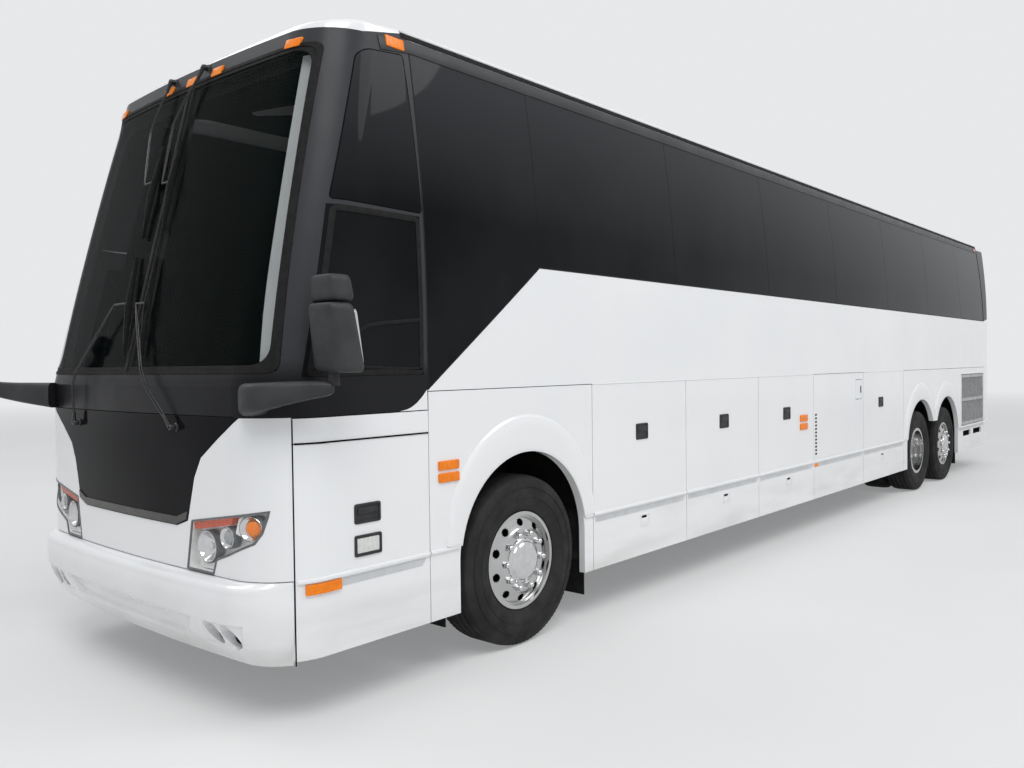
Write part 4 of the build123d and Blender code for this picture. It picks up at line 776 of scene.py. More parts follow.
def floor_finish():
    """Pale matt floor that fades into the backdrop's own tone far from the coach, as the camera sees it."""
    material, tree, shader, place = new_finish("pale_floor")
    tone = mix_colour(tree, spread(tree, noise(tree, place, 0.5), 0.35, 0.65), FLOOR_TONE,
                      tuple(c * 0.97 for c in FLOOR_TONE))
    tree.links.new(tone, shader.inputs["Base Color"])
    shader.inputs["Roughness"].default_value = 0.9
    shader.inputs["Specular IOR Level"].default_value = 0.0
    glow = tree.nodes.new("ShaderNodeEmission")
    glow.inputs["Color"].default_value = (*BACKDROP, 1)
    length = tree.nodes.new("ShaderNodeVectorMath")
    length.operation = "LENGTH"
    tree.links.new(place, length.inputs[0])
    far = spread(tree, length.outputs["Value"], FADE_START, FADE_END, 0.30, 1.0)
    seen = seen_rays(tree)
    mix = tree.nodes.new("ShaderNodeMixShader")
    tree.links.new(combine(tree, "MULTIPLY", far, seen), mix.inputs[0])
    tree.links.new(shader.outputs[0], mix.inputs[1])
    tree.links.new(glow.outputs[0], mix.inputs[2])
    out = [node for node in tree.nodes if node.type == "OUTPUT_MATERIAL"][0]
    tree.links.new(mix.outputs[0], out.inputs[0])
    return material


LAMPS = (("key_lamp", (10, -13, 17), (0, -3, 1.5), 1750, 11),
         ("side_lamp", (15, 5, 17), (0, 1, 1.5), 1250, 12),
         ("fill_lamp", (-11, -9, 17), (0, -3, 1.5), 700, 11))


def studio():
    """A wide pale floor, a white backdrop and three soft lamps, too high to show in the upright glass."""
    points = np.array([[-1, -1, 0], [1, -1, 0], [1, 1, 0], [-1, 1, 0]], float) * FLOOR_HALF
    mesh = bpy.data.meshes.new("floor")
    mesh.from_pydata(points.tolist(), [], [(0, 1, 2, 3)])
    floor = bpy.data.objects.new("floor", mesh)
    bpy.context.scene.collection.objects.link(floor)
    mesh.materials.append(floor_finish())
    world = bpy.data.worlds.new("studio")
    bpy.context.scene.world = world
    world.use_nodes = True
    tree = world.node_tree
    tree.nodes.clear()
    seen = seen_rays(tree)
    sky, white, mix = (tree.nodes.new(kind) for kind in
                       ("ShaderNodeBackground", "ShaderNodeBackground", "ShaderNodeMixShader"))
    sky.inputs["Color"].default_value = (*SKY_TONE, 1)
    sky.inputs["Strength"].default_value = SKY_STRENGTH
    white.inputs["Color"].default_value = (*BACKDROP, 1)
    white.inputs["Strength"].default_value = 1.0
    tree.links.new(seen, mix.inputs[0])
    tree.links.new(sky.outputs[0], mix.inputs[1])
    tree.links.new(white.outputs[0], mix.inputs[2])
    out = tree.nodes.new("ShaderNodeOutputWorld")
    tree.links.new(mix.outputs[0], out.inputs[0])
    for name, spot, aim, power, size in LAMPS:
        lamp = bpy.data.lights.new(name, "AREA")
        lamp.shape = "DISK"
        lamp.energy = power
        lamp.size = size
        lamp_object = bpy.data.objects.new(name, lamp)
        toward = np.array(aim, float) - np.array(spot, float)
        back = -toward / np.linalg.norm(toward)
        right = np.cross([0, 0, 1], back)
        right /= np.linalg.norm(right)
        axes = np.column_stack([right, np.cross(back, right), back])
        lamp_object.matrix_world = Matrix.Translation(spot) @ Matrix(axes.tolist()).to_4x4()
        bpy.context.scene.collection.objects.link(lamp_object)
    bpy.context.scene.view_settings.view_transform = "Standard"


studio()


# Wheels
TYRE_PROFILE = ((-0.115, 0.2865), (-0.115, 0.300), (-0.132, 0.308), (-0.147, 0.345), (-0.155, 0.400),
                (-0.154, 0.430),
                (-0.147, 0.470), (-0.140, 0.492), (-0.133, 0.507), (-0.122, 0.514))
TREAD_HALF = 0.118
TREAD_RADIUS = 0.5195
GROOVES = (-0.079, -0.027, 0.027, 0.079)
GROOVE_HALF = 0.006
GROOVE_DEPTH = 0.013


def tyre_profile():
    """Bead, bulged sidewall, shoulder and a tread with four grooves, mirrored about the middle."""
    wall = list(TYRE_PROFILE)
    tread = []
    for groove in GROOVES:
        floor_half, floor = GROOVE_HALF - 0.002, TREAD_RADIUS - GROOVE_DEPTH
        tread += [(groove - GROOVE_HALF, TREAD_RADIUS), (groove - floor_half, floor),
                  (groove + floor_half, floor), (groove + GROOVE_HALF, TREAD_RADIUS)]
    return np.array(wall + tread + [(-x, r) for x, r in reversed(wall)])


SHOULDER_LUGS = 96
SHOULDER_RADIUS = 0.505
SIPE_DEPTH = 0.004
WALL_RINGS = (0.385, 0.446)


def tyre(x, y, sign):
    """The turned profile, with the tread's outer rows notched in turn by sipes round the shoulder."""
    profile = tyre_profile()
    segments = SHOULDER_LUGS * 2
    a = np.linspace(0, 2 * math.pi, segments, endpoint=False)
    radius = np.repeat(profile[:, 1][:, None], segments, 1)
    edge = (np.abs(profile[:, 0]) > TREAD_HALF) & (profile[:, 1] > SHOULDER_RADIUS)
    radius[edge] -= SIPE_DEPTH * (np.arange(segments) % 2 == 0)
    points = np.stack([sign * (x + profile[:, 0][:, None] + 0 * a), y + radius * np.cos(a),
                       WHEEL_Z + radius * np.sin(a)], -1)
    rings = [turned([(face * 0.1525, r - 0.003), (face * 0.1562, r), (face * 0.1525, r + 0.003)],
                    (x, y, WHEEL_Z), 96, sign)
             for face in (-1, 1) for r in WALL_RINGS]
    return [grid(points, close_rows=True, close_columns=True)] + rings


# Wheel faces, in (outward, radius) from the wheel's middle
LIP_PROFILE = ((0.128, 0.276), (0.1283, 0.2905), (0.1275, 0.297), (0.122, 0.2985), (0.116, 0.296),
               (0.116, 0.2867),
               (0.0, 0.2863), (-0.116, 0.2867), (-0.116, 0.296), (-0.124, 0.2985), (-0.128, 0.296),
               (-0.128, 0.262))
TWIN_LIP = ((0.128, 0.262), (0.128, 0.276))
HOLE_COUNT = 10
LUG_COUNT = 10
LUG_CIRCLE = 0.1675


def wheel_disc(centre, sign, profile, hole_ring, hole_half, thick=0.014):
    """A dished disc: radius and depth follow the profile from the rim inwards. Ten oval hand holes are cut by
    leaving out grid squares; points just outside an oval slide onto its rim, and a wall joins both faces."""
    profile = np.asarray(profile, float)
    spokes = HOLE_COUNT * 18
    t = np.linspace(0, 1, 76)
    length = np.concatenate([[0], np.cumsum(np.linalg.norm(np.diff(profile, axis=0), axis=1))])
    depth = np.interp(t * length[-1], length, profile[:, 0])
    radius = np.interp(t * length[-1], length, profile[:, 1])
    a = np.linspace(0, 2 * math.pi, spokes, endpoint=False) + math.pi / HOLE_COUNT
    rr, aa = np.meshgrid(radius, a, indexing="ij")
    dd = np.repeat(depth[:, None], spokes, 1)
    phase = aa % (2 * math.pi / HOLE_COUNT) - math.pi / HOLE_COUNT
    u = phase * rr / hole_half[1]
    v = (rr - hole_ring) / hole_half[0]
    distance = np.sqrt(u**2 + v**2)
    near = (distance > 1.0) & (distance < 1.28)
    scale = np.where(near, 1.0 / np.maximum(distance, 1e-6), 1.0)
    aa = np.where(near, aa + (u * scale - u) * hole_half[1] / rr, aa)
    rr = np.where(near, hole_ring + v * scale * hole_half[0], rr)
    dd = np.where(near, np.interp(rr, radius[::-1], depth[::-1]), dd)
    inside = distance <= 1.0
    front = np.stack([sign * (centre[0] + dd), centre[1] + rr * np.cos(aa), centre[2] + rr * np.sin(aa)], -1)
    back = front - np.array([sign * thick, 0, 0])
    faces = grid_faces(len(t), spokes, close_columns=True)
    keep = ~inside.reshape(-1)[faces].any(1)
    kept = faces[keep]
    count = front.shape[0] * front.shape[1]
    edges = np.concatenate([kept[:, [i, (i + 1) % 4]] for i in range(4)])
    keys = np.sort(edges, 1)
    _, first, seen = np.unique(keys, axis=0, return_index=True, return_counts=True)
    rim = edges[first[seen == 1]]
    wall = np.stack([rim[:, 0], rim[:, 1], rim[:, 1] + count, rim[:, 0] + count], -1)
    all_faces = np.concatenate([kept, kept + count, wall])
    return np.concatenate([front.reshape(-1, 3), back.reshape(-1, 3)]), [tuple(f) for f in all_faces]


def lug_covers(centre, sign, height, radius=0.0195):
    """Ten domed chrome covers on the stud circle, each a round foot below a round dome."""
    parts = []
    dome = [(0.0, radius * 1.12), (height * 0.45, radius * 1.1), (height * 0.48, radius * 0.98)]
    dome += [(height * (0.62 + 0.38 * math.sin(t)), radius * 0.95 * math.cos(t))
             for t in np.linspace(0, 1.5, 5)]
    for k in range(LUG_COUNT):
        angle = 2 * math.pi * k / LUG_COUNT
        spot = (centre[0], centre[1] + LUG_CIRCLE * math.cos(angle), centre[2] + LUG_CIRCLE * math.sin(angle))
        parts.append(turned(dome, spot, 14, sign))
    return parts


DISC_OUT = ((0.104, 0.272), (0.104, 0.264), (0.108, 0.254), (0.114, 0.240), (0.121, 0.220), (0.129, 0.203),
            (0.135, 0.194),
            (0.138, 0.186), (0.138, 0.105))
HUB_DOME = ((0.132, 0.137), (0.143, 0.137), (0.149, 0.131), (0.152, 0.119), (0.163, 0.112), (0.170, 0.096),
            (0.174, 0.072),
            (0.1765, 0.040), (0.177, 0.0))
DISC_DEEP = ((0.128, 0.262), (0.100, 0.264), (0.040, 0.262), (-0.030, 0.258), (-0.052, 0.248),
             (-0.058, 0.215),
             (-0.060, 0.190), (-0.060, 0.110))
HUB_DEEP = ((-0.066, 0.118), (-0.052, 0.119), (-0.040, 0.114), (-0.030, 0.100), (-0.006, 0.094),
            (0.000, 0.080),
            (0.004, 0.050), (0.005, 0.0))


OUTER_LIP = ((0.128, 0.276), (0.118, 0.273), (0.106, 0.272), (0.104, 0.272))
# Dark barrel lining and dish behind a single wheel's disc: painted shade seen through the hand holes.
PAINTED_SHADE_BACK = ((-0.128, 0.262), (0.088, 0.262), (0.084, 0.255), (0.060, 0.16), (0.080, 0.15), (0.085, 0.10))
SINGLE_DRUM = ((-0.117, 0.0), (-0.117, 0.15), (0.028, 0.15))
TWIN_DRUM = ((-0.46, 0.0), (-0.46, 0.17), (-0.30, 0.19), (-0.09, 0.19), (-0.08, 0.10))
INNER_WALL, INNER_FLANGE = ((-0.128, 0.262), (0.128, 0.262)), ((-0.128, 0.262), (-0.07, 0.262))
SINGLE_HOLES = (0.2315, (0.0225, 0.0255))
TWIN_HOLES = (0.222, (0.019, 0.026))
SINGLE_LUGS, TWIN_LUGS = 0.137, -0.060
LUG_HEIGHT = 0.040


def single_wheel(axle, side, sign, body):
    """A turned barrel and lip, a disc that stands out past them, a hub with its covers, a brake drum and a
    dark back that is painted shade seen through the disc's holes.
    """
    y = WHEEL_Y[axle]
    centre = (WHEEL_X, y, WHEEL_Z)
    rubber = build("%s_tyre_tread_%s" % (axle, side), tyre(WHEEL_X, y, sign), TYRE_RUBBER, body, "tyre", 28)
    stand_for(rubber, "%s_tyre_%s" % (axle, side))
    name = "%s_wheel_%s" % (axle, side)
    metal = [turned(LIP_PROFILE, centre, 120, sign), turned(OUTER_LIP, centre, 120, sign),
             wheel_disc(centre, sign, DISC_OUT, *SINGLE_HOLES)]
    stand_for(build(name + "_rim", metal, POLISHED, body, "wheel"), "%s_rim_%s" % (axle, side))
    covers = lug_covers((WHEEL_X + SINGLE_LUGS, y, WHEEL_Z), sign, LUG_HEIGHT)
    build(name + "_hub", [turned(HUB_DOME, centre, 72, sign)] + covers, CHROME, body, "wheel")
    dark = [turned(SINGLE_DRUM, centre, 48, sign), turned(PAINTED_SHADE_BACK, centre, 72, sign)]
    build(name + "_brake", dark, LINER, body, "wheel")


def twin_wheels(side, sign, body):
    """Two tyres on one pair of rims, a deep disc in the outer one, a hub with its covers, a drum behind."""
    y = WHEEL_Y["drive"]
    outer_x, inner_x = WHEEL_X, WHEEL_X - TWIN_SPACING
    centre, inner = (outer_x, y, WHEEL_Z), (inner_x, y, WHEEL_Z)
    rubber = tyre(outer_x, y, sign) + tyre(inner_x, y, sign)
    stand_for(build("drive_tyre_tread_" + side, rubber, TYRE_RUBBER, body, "tyre", 28), "drive_tyres_" + side)
    metal = [turned(LIP_PROFILE, centre, 120, sign), turned(LIP_PROFILE, inner, 90, sign),
             wheel_disc(centre, sign, DISC_DEEP, *TWIN_HOLES), turned(INNER_FLANGE, centre, 90, sign),
             turned(TWIN_LIP, centre, 120, sign), turned(INNER_WALL, inner, 90, sign)]
    stand_for(build("drive_wheel_rim_" + side, metal, POLISHED, body, "wheel"), "drive_rims_" + side)
    covers = lug_covers((outer_x + TWIN_LUGS, y, WHEEL_Z), sign, LUG_HEIGHT)
    build("drive_wheel_hub_" + side, [turned(HUB_DEEP, centre, 60, sign)] + covers, CHROME, body, "wheel")
    build("drive_wheel_brake_" + side, [turned(TWIN_DRUM, centre, 48, sign)], CAST, body, "wheel")


def wheels():
    """On each side a single wheel in front, twins on the drive axle and a single wheel on the tag axle."""
    for side, sign in SIDES:
        for axle in ("front", "tag"):
            single_wheel(axle, side, sign, "%s_wheel_%s" % (axle, side))
        twin_wheels(side, sign, "drive_wheels_" + side)


wheels()


# Windshield surround
GLASS_LOW, GLASS_HIGH = 1.704, 3.348
GLASS_X_LOW, GLASS_X_HIGH = 1.205, 1.078


def glass_outline(grow, corner):
    """The windshield's outline in (x, z), grown outwards; any two have the same count of points."""
    slope = (GLASS_X_LOW - GLASS_X_HIGH) / (GLASS_HIGH - GLASS_LOW)
    half_low, half_high = GLASS_X_LOW + grow * (1 + slope), GLASS_X_HIGH + grow * (1 - slope)
    low, high = GLASS_LOW - grow, GLASS_HIGH + grow
    corners = [(-half_low, low), (half_low, low), (half_high, high), (-half_high, high)]
    round_corners = rounded(corners, corner, 9)
    sides = []
    for k in range(4):
        sides.append(round_corners[9 * k:9 * k + 9])
        sides.append(line(round_corners[9 * k + 8], round_corners[(9 * k + 9) % 36], 60)[1:-1])
    return np.concatenate(sides)


def windshield_trim():
    """A rubber seal with a raised lip round the glass, and the seal between the two panes."""
    outer, middle, inner = (glass_outline(g, c) for g, c in ((0.012, 0.05), (-0.006, 0.075), (-0.026, 0.095)))
    parts = [band(outer, middle, -0.02, 0.006, on_nose), band(middle, inner, -0.02, 0.002, on_nose)]
    seal = line((0.0, GLASS_LOW), (0.0, GLASS_HIGH), 60)
    parts.append(strip(seal, 0.074, -0.02, 0.002, on_nose))
    parts.append(strip(seal, 0.022, -0.02, 0.009, on_nose, 0.004))
    build("windshield_gasket", parts, RUBBER, ROOT, "black_plastic")


def pillar_lining():
    """Behind the glass: the driver's pale pillar lining, a dark header, dark ceiling, walls and tail."""
    inner = curve_through([(1.090, 1.735), (1.050, 2.00), (0.995, 2.60), (0.950, 3.31)], 24)
    outer = curve_through([(1.172, 1.735), (1.150, 2.00), (1.104, 2.60), (1.050, 3.31)], 24)
    lining = patch(inner, outer, -0.075, -0.055, on_nose, 6)
    build("driver_pillar_lining", [lining], INSIDE_PALE, ROOT, "trim")
    x = np.linspace(-1.02, 1.02, 40)
    low, high = np.stack([x, 0 * x + 3.25], -1), np.stack([x, 0 * x + 3.40], -1)
    header = patch(low, high, -0.075, -0.058, on_nose, 5)
    build("windshield_header_lining", [header], INSIDE_DARK, ROOT, "trim")
    x = np.linspace(-1.06, 1.06, 60)
    z = HEIGHT - CROWN_RADIUS + np.sqrt((CROWN_RADIUS - 0.055) ** 2 - x**2)
    points = []
    for y in np.concatenate([np.linspace(at(-1.27), at(-0.3), 8), np.linspace(at(0.5), at(11.25), 10)]):
        high = np.minimum(z, 3.385 + 0.20 * (y + 6.2))
        across = x * np.interp(y, [-6.2, -5.85], [0.80, 1.0])
        top, low = np.stack([across, 0 * x + y, high], -1), np.stack([across, 0 * x + y, high - 0.008], -1)
        points.append(np.concatenate([top, low[::-1]]))
    parts = [grid(np.array(points), close_columns=True)]
    z = np.linspace(1.32, 3.40, 14)
    y = np.linspace(at(-1.30), at(11.25), 10)
    yy, zz = np.meshgrid(y, z, indexing="ij")
    start = corner_centre(zz)[1] + 0.02
    yy = start + (yy - y[0]) * (y[-1] - start) / (y[-1] - y[0])
    for sign in (-1, 1):
        outside = np.stack([sign * (side_x(zz) - 0.060), yy, zz], -1)
        inside = outside - np.array([sign * 0.006, 0, 0])
        parts.append(grid(np.concatenate([outside, inside[:, ::-1]], 1), close_columns=True))
    tail = rounded([(-1.12, 1.62), (1.12, 1.62), (1.02, 3.50), (-1.02, 3.50)], 0.05)
    parts.append(plate(tail, -0.30, -0.29, on_tail))
    build("cabin_linings", parts, INSIDE_DARK, ROOT, "trim")


DOOR_TOP = 1.3585
CAP_CORNER = ((-5.855, 1.483), (-5.800, 1.492), (-5.745, 1.517), (-5.700, 1.552), (-5.662, 1.590))
MASK_FOOT = ((-0.622, 0.9665), (-0.530, 0.934), (0.530, 0.934), (0.622, 0.9665))


def nose_trims():
    """A bronze strip and a seam on the mask, shut lines, and white corners behind the cap's lower edge."""
    foot = np.concatenate([line(a, b, n)[:-1] for a, b, n in zip(MASK_FOOT, MASK_FOOT[1:], (8, 60, 9))]
                          + [[MASK_FOOT[-1]]])
    upper = foot + np.array([0, 0.040])
    upper[:, 0] *= 1.012
    build("mask_foot_strip", [patch(foot, upper, -0.003, 0.007, on_nose, 5)], FOOT_TRIM, ROOT, "black_panel")
    seam = line((-1.02, 1.486), (1.02, 1.486), 70)
    build("mask_seam", [strip(seam, 0.005, -0.003, 0.0008, on_nose, 0.0003)], SHADOW, ROOT, "black_panel")
    place = on_side(1)
    post = line((at(-1.646), 0.315), (at(-1.646), 1.472), 50)
    top = line((at(-1.640), DOOR_TOP), (at(-0.818), DOOR_TOP), 40)
    lines = [strip(post, 0.0055, -0.004, 0.0009, place, 0.0003),
             strip(top, 0.0085, -0.004, 0.0048, place, 0.002)]
    build("front_corner_shut_lines", lines, SHADOW, ROOT, "body_paint")
    for side, sign in SIDES:
        curve = curve_through(CAP_CORNER, 18)
        flat = np.stack([np.linspace(-5.855, -5.6605, 18), np.full(18, 1.4825)], -1)
        corner = patch(flat, curve, -0.003, 0.0012, on_side(sign), 5)
        build("cap_corner_" + side, [corner], WHITE, ROOT, "body_paint")


windshield_trim()
pillar_lining()
nose_trims()


# Roof
ROOF_LOW, ROOF_NOSE = 3.500, 3.440
ROOF_STEP = (-5.956, -5.696)
TAIL_ROLL = 0.220


def roof_section():
    """Half of the roof's section from the gutter round its edge curve to the middle, as (x, z)."""
    z = np.linspace(ROOF_NOSE, EDGE_START, 8)[:-1]
    upright = np.stack([side_x(z), z], -1)
    first = math.atan2(EDGE_START - EDGE_Z, float(side_x(EDGE_START)) - EDGE_X)
    last = math.atan2(EDGE_Z - HEIGHT + CROWN_RADIUS, EDGE_X)
    a = np.linspace(first, last, 10)
    edge = np.stack([EDGE_X + ROOF_EDGE * np.cos(a), EDGE_Z + ROOF_EDGE * np.sin(a)], -1)
    x = np.linspace(edge[-1, 0], 0, 26)[1:]
    return np.concatenate([upright, edge, np.stack([x, HEIGHT - CROWN_RADIUS
                                                    + np.sqrt(CROWN_RADIUS**2 - x**2)], -1)])


def roof():
    """The section runs back from the nose: a small lip, an eased rise to the crown, a roll at the tail."""
    half = roof_section()
    section = np.concatenate([half, half[-2::-1] * np.array([-1, 1])])
    x, z = section.T
    low = np.minimum(z, ROOF_NOSE)
    front = nose_y(x, low)
    rise = z - low
    lip = 0.018 + 0.034 * (np.abs(x) / 1.15) ** 4
    length = 0.30 + 2.0 * np.maximum(1 - (np.abs(x) / 1.2) ** 4, 0)
    rows = []
    steps = np.concatenate([np.linspace(0, 0.05, 8), np.linspace(0.08, 0.60, 14), np.linspace(0.7, 2.4, 12)])
    runs = [(d, 0.0) for d in steps]
    runs += [(2.4, t) for t in np.linspace(0.1, 1.0, 6)]
    roll_y = TAIL_Y - TAIL_ROLL
    for d, t in runs:
        q = np.clip(d / length, 0, 1)
        round_lip = lip * np.sqrt(1 - (1 - np.minimum(d / lip, 1)) ** 2)
        height = low + np.minimum(round_lip, rise) + np.maximum(rise - lip, 0) * (2 * q - q * q)
        y = front + d
        y = y * (1 - t) + roll_y * t
        rows.append((x, y, np.minimum(height, z)))
    for a in np.linspace(0.1, math.pi / 2 - 0.02, 12):
        y = roll_y + TAIL_ROLL * math.sin(a) + 0 * x
        top = HEIGHT - TAIL_ROLL * (1 - math.cos(a))
        corner = HALF_WIDTH + 0.001 - TAIL_CORNER + np.sqrt(np.maximum(
            TAIL_CORNER**2 - np.maximum(y - TAIL_Y + TAIL_CORNER, 0) ** 2, 0))
        rows.append((np.sign(x) * np.minimum(np.abs(x), corner), y, np.minimum(z, top)))
    rows.append((rows[-1][0], 0 * x + TAIL_Y - 0.001, 0 * x + ROOF_LOW))
    outer = np.array([np.stack(row, -1) for row in rows])
    share = np.clip((outer[..., 1] - ROOF_STEP[0]) / (ROOF_STEP[1] - ROOF_STEP[0]), 0, 1)
    foot = ROOF_NOSE + (ROOF_LOW - ROOF_NOSE) * share
    outer[..., 2] = np.maximum(outer[..., 2], foot)
    outer[..., 0] = np.sign(outer[..., 0]) * np.minimum(np.abs(outer[..., 0]), side_x(outer[..., 2]))
    inner = outer * np.array([0.975, 1, 1]) - np.array([0, 0, 0.03])
    inner[..., 1] += 0.04 * np.linspace(1, -1, len(rows))[:, None]
    inner[..., 2] = np.maximum(inner[..., 2], foot)
    stand_for(build("roof_skin", [grid(np.concatenate([outer, inner[:, ::-1]], 1), close_columns=True)],
                    WHITE, ROOT,
                    "body_paint", 40), "roof_shell")


roof()


# Wheel arch mouldings
ARCH_RADIUS, ARCH_CENTRE_Z = 0.585, 0.605
FLARE_RADIUS, FLARE_CENTRE_Z = 0.692, 0.722
FLARE_FOOT, DIVIDER_Z = 0.722, 0.880
FLARE_PROFILE = ((0.0, -0.003), (0.0, 0.001), (0.05, 0.0075), (0.11, 0.0125), (0.19, 0.0148), (0.35, 0.016),
                 (0.90, 0.016),
                 (0.96, 0.0145), (1.0, 0.010), (1.0, -0.02))


def flare(sign, station, front_mid=None, rear_mid=None):
    """A rounded moulding between two circles over an arch, stopped midway to the next wheel."""
    t = np.linspace(0, 1, 72)
    feet = [DIVIDER_Z if mid is not None else FLARE_FOOT for mid in (rear_mid, front_mid)]
    lines = []
    for radius, centre_z in ((FLARE_RADIUS, FLARE_CENTRE_Z), (ARCH_RADIUS, ARCH_CENTRE_Z)):
        starts = [math.asin(max(foot - centre_z, 0) / radius) for foot in feet]
        a = starts[0] + t * (math.pi - starts[0] - starts[1])
        u = radius * np.cos(a)
        if rear_mid is not None:
            u = np.minimum(u, rear_mid)
        if front_mid is not None:
            u = np.maximum(u, front_mid)
        lines.append(np.stack([at(station) + u, centre_z + radius * np.sin(a)], -1))
    outer, inner = lines
    place = on_side(sign)
    points = [place(*(outer * (1 - s) + inner * s).T, np.full(len(t), w)) for s, w in FLARE_PROFILE]
    return grid(np.array(points).transpose(1, 0, 2), close_columns=True)


def arch_mouldings():
    """Three flares a side, the last two stopped against each other midway between their wheels."""
    middle = (DRIVE_STATION + TAG_STATION) / 2
    for side, sign in SIDES:
        parts = [flare(sign, 0.0), flare(sign, DRIVE_STATION, rear_mid=middle - DRIVE_STATION - 0.001),
                 flare(sign, TAG_STATION, front_mid=middle - TAG_STATION + 0.001)]
        build("arch_mouldings_" + side, parts, WHITE, ROOT, "body_paint", 40)


arch_mouldings()


# Front bumper
BUMPER_Z = (0.300, 0.335, 0.400, 0.480, 0.560, 0.650, 0.695, 0.712)
BUMPER_FRONT = (-0.060, -0.034, 0.008, 0.046, 0.062, 0.062, 0.046, 0.012)
BUMPER_SIDE = (-0.062, -0.040, -0.014, -0.002, 0.000, 0.000, 0.000, 0.000)
BUMPER_SEAM = 1.3105
BUMPER_TURN = (1.02, 1.325)
BUMPER_WALL = 0.03
INTAKE = ((-0.735, 0.515), (0.735, 0.515), (0.620, 0.385), (-0.620, 0.385))
FOG_RECESS = ((0.768, 0.376), (1.066, 0.384), (1.092, 0.520), (0.796, 0.504))
FOG_DUCTS = ((0.862, 0.450), (0.990, 0.446))
DUCT_SIZE = (0.066, 0.040)
DUCT_TILT = -0.72


def bumper_columns():
    """Arc lengths across the bumper, close together where the fog recesses are."""
    half = np.concatenate([np.arange(0, 0.78, 0.013), np.arange(0.78, 1.13, 0.0045),
                           np.linspace(1.135, BUMPER_SEAM, 16)])
    return np.concatenate([-half[:0:-1], half])


def duct_reach(x, z, centre):
    """Distance from a tilted oval's centre in units of its own size."""
    u = (x - centre[0]) * math.cos(DUCT_TILT) + (z - centre[1]) * math.sin(DUCT_TILT)
    v = -(x - centre[0]) * math.sin(DUCT_TILT) + (z - centre[1]) * math.cos(DUCT_TILT)
    return np.sqrt((u / DUCT_SIZE[0]) ** 2 + (v / DUCT_SIZE[1]) ** 2)


def front_bumper():
    """Round the nose: outward reach from the level curves, eased from the front's to the side's, less the
    intake's hollow, two fog recesses and two oval ducts in each; then the same line back inside."""
    s = bumper_columns()
    z = np.concatenate([np.linspace(0.300, 0.392, 9, endpoint=False), np.arange(0.392, 0.530, 0.0045),
                        np.linspace(0.535, 0.690, 12, endpoint=False), np.linspace(0.690, 0.712, 7)])
    ss, zz = np.meshgrid(s, z, indexing="ij")
    front = smooth_curve(zz, BUMPER_Z, BUMPER_FRONT)
    side = smooth_curve(zz, BUMPER_Z, BUMPER_SIDE)
    t = np.clip((np.abs(ss) - BUMPER_TURN[0]) / (BUMPER_TURN[1] - BUMPER_TURN[0]), 0, 1)
    reach = side + (front - side) * (0.5 + 0.5 * np.cos(math.pi * t))
    x = round_nose(ss, zz, 0.0)[..., 0]
    reach = reach - inside_depth(x, zz, INTAKE, 0.026, 0.035)
    for sign in (-1, 1):
        reach = reach - inside_depth(sign * x, zz, FOG_RECESS, 0.012, 0.012)
        for duct in FOG_DUCTS:
            near = duct_reach(sign * x, zz, duct)
            reach = reach - 0.055 * np.clip((1.06 - near) / 0.12, 0, 1)
    outer = round_nose(ss, zz, reach)
    inner = round_nose(ss, zz, reach - BUMPER_WALL)
    shell = grid(np.concatenate([outer, inner[:, ::-1]], 1), close_columns=True)
    piece = build("front_bumper_shell", [shell], WHITE, ROOT, "body_paint", 40)
    stand_for(piece, "front_bumper")
    # Black plates sunk in the oval ducts are painted shade standing in for the ducts' dark depths.
    a = np.linspace(0, 2 * math.pi, 32, endpoint=False)
    duct_shade_plates = []
    for x, z in FOG_DUCTS:
        u, v = 0.030 * np.cos(a), 0.030 * np.sin(a)
        oval = np.stack([x + 0.020 + u * math.cos(DUCT_TILT) - 0.7 * v * math.sin(DUCT_TILT),
                         z - 0.008 + u * math.sin(DUCT_TILT) + 0.7 * v * math.cos(DUCT_TILT)], -1)
        duct_shade_plates.append(plate(oval, -0.030, -0.0105, on_nose, 0.001))
    build("fog_duct_floors", both(duct_shade_plates), SHADOW, ROOT, "black_plastic")


front_bumper()


# Headlamps
LAMP_OUTLINE = ((0.612, 0.7185), (0.661, 0.968), (1.190, 1.052), (1.184, 1.018), (1.162, 0.942),
                (1.128, 0.892),
                (0.972, 0.826), (0.871, 0.790), (0.844, 0.7185))
TURN_STRIP = ((0.673, 0.921), (0.668, 0.956), (0.990, 1.009), (0.976, 0.972))
MAIN_BOWL, PROJECTOR, TURN_LAMP = (0.776, 0.846, 0.074), (0.936, 0.906, 0.050), (1.098, 0.962, 0.056)


def slope_at(x, z):
    """How fast the nose falls back to the side at a point."""
    return float((nose_y(x + 0.002, z) - nose_y(x - 0.002, z)) / 0.004)


def lamp_bowl(spot, profile, segments=48):
    """A turned reflector or lens behind the lamp's cover; the profile gives (outward, radius)."""
    x, z, _ = spot
    return bowl((x, float(nose_y(x, z)), z), profile, segments, slope_at(x, z))


def dish(radius, rim, depth, steps=9):
    """A reflector: a round lip, then a parabola down to the given depth."""
    r = np.linspace(radius * 0.94, 0.0, steps)
    lip = [(rim - 0.012, radius * 1.05), (rim, radius * 1.04), (rim + 0.002, radius), (rim, radius * 0.96)]
    return lip + [(rim - depth * (1 - (v / (radius * 0.94)) ** 2) - 0.003, v) for v in r]


def dome(foot, foot_radius, base, radius, rise):
    """A lens: from its foot onto a quarter ellipse that rises from the base to the middle."""
    turns = np.linspace(0, math.pi / 2, 8)
    return [(foot, foot_radius)] + [(base + rise * math.sin(t), radius * math.cos(t)) for t in turns]


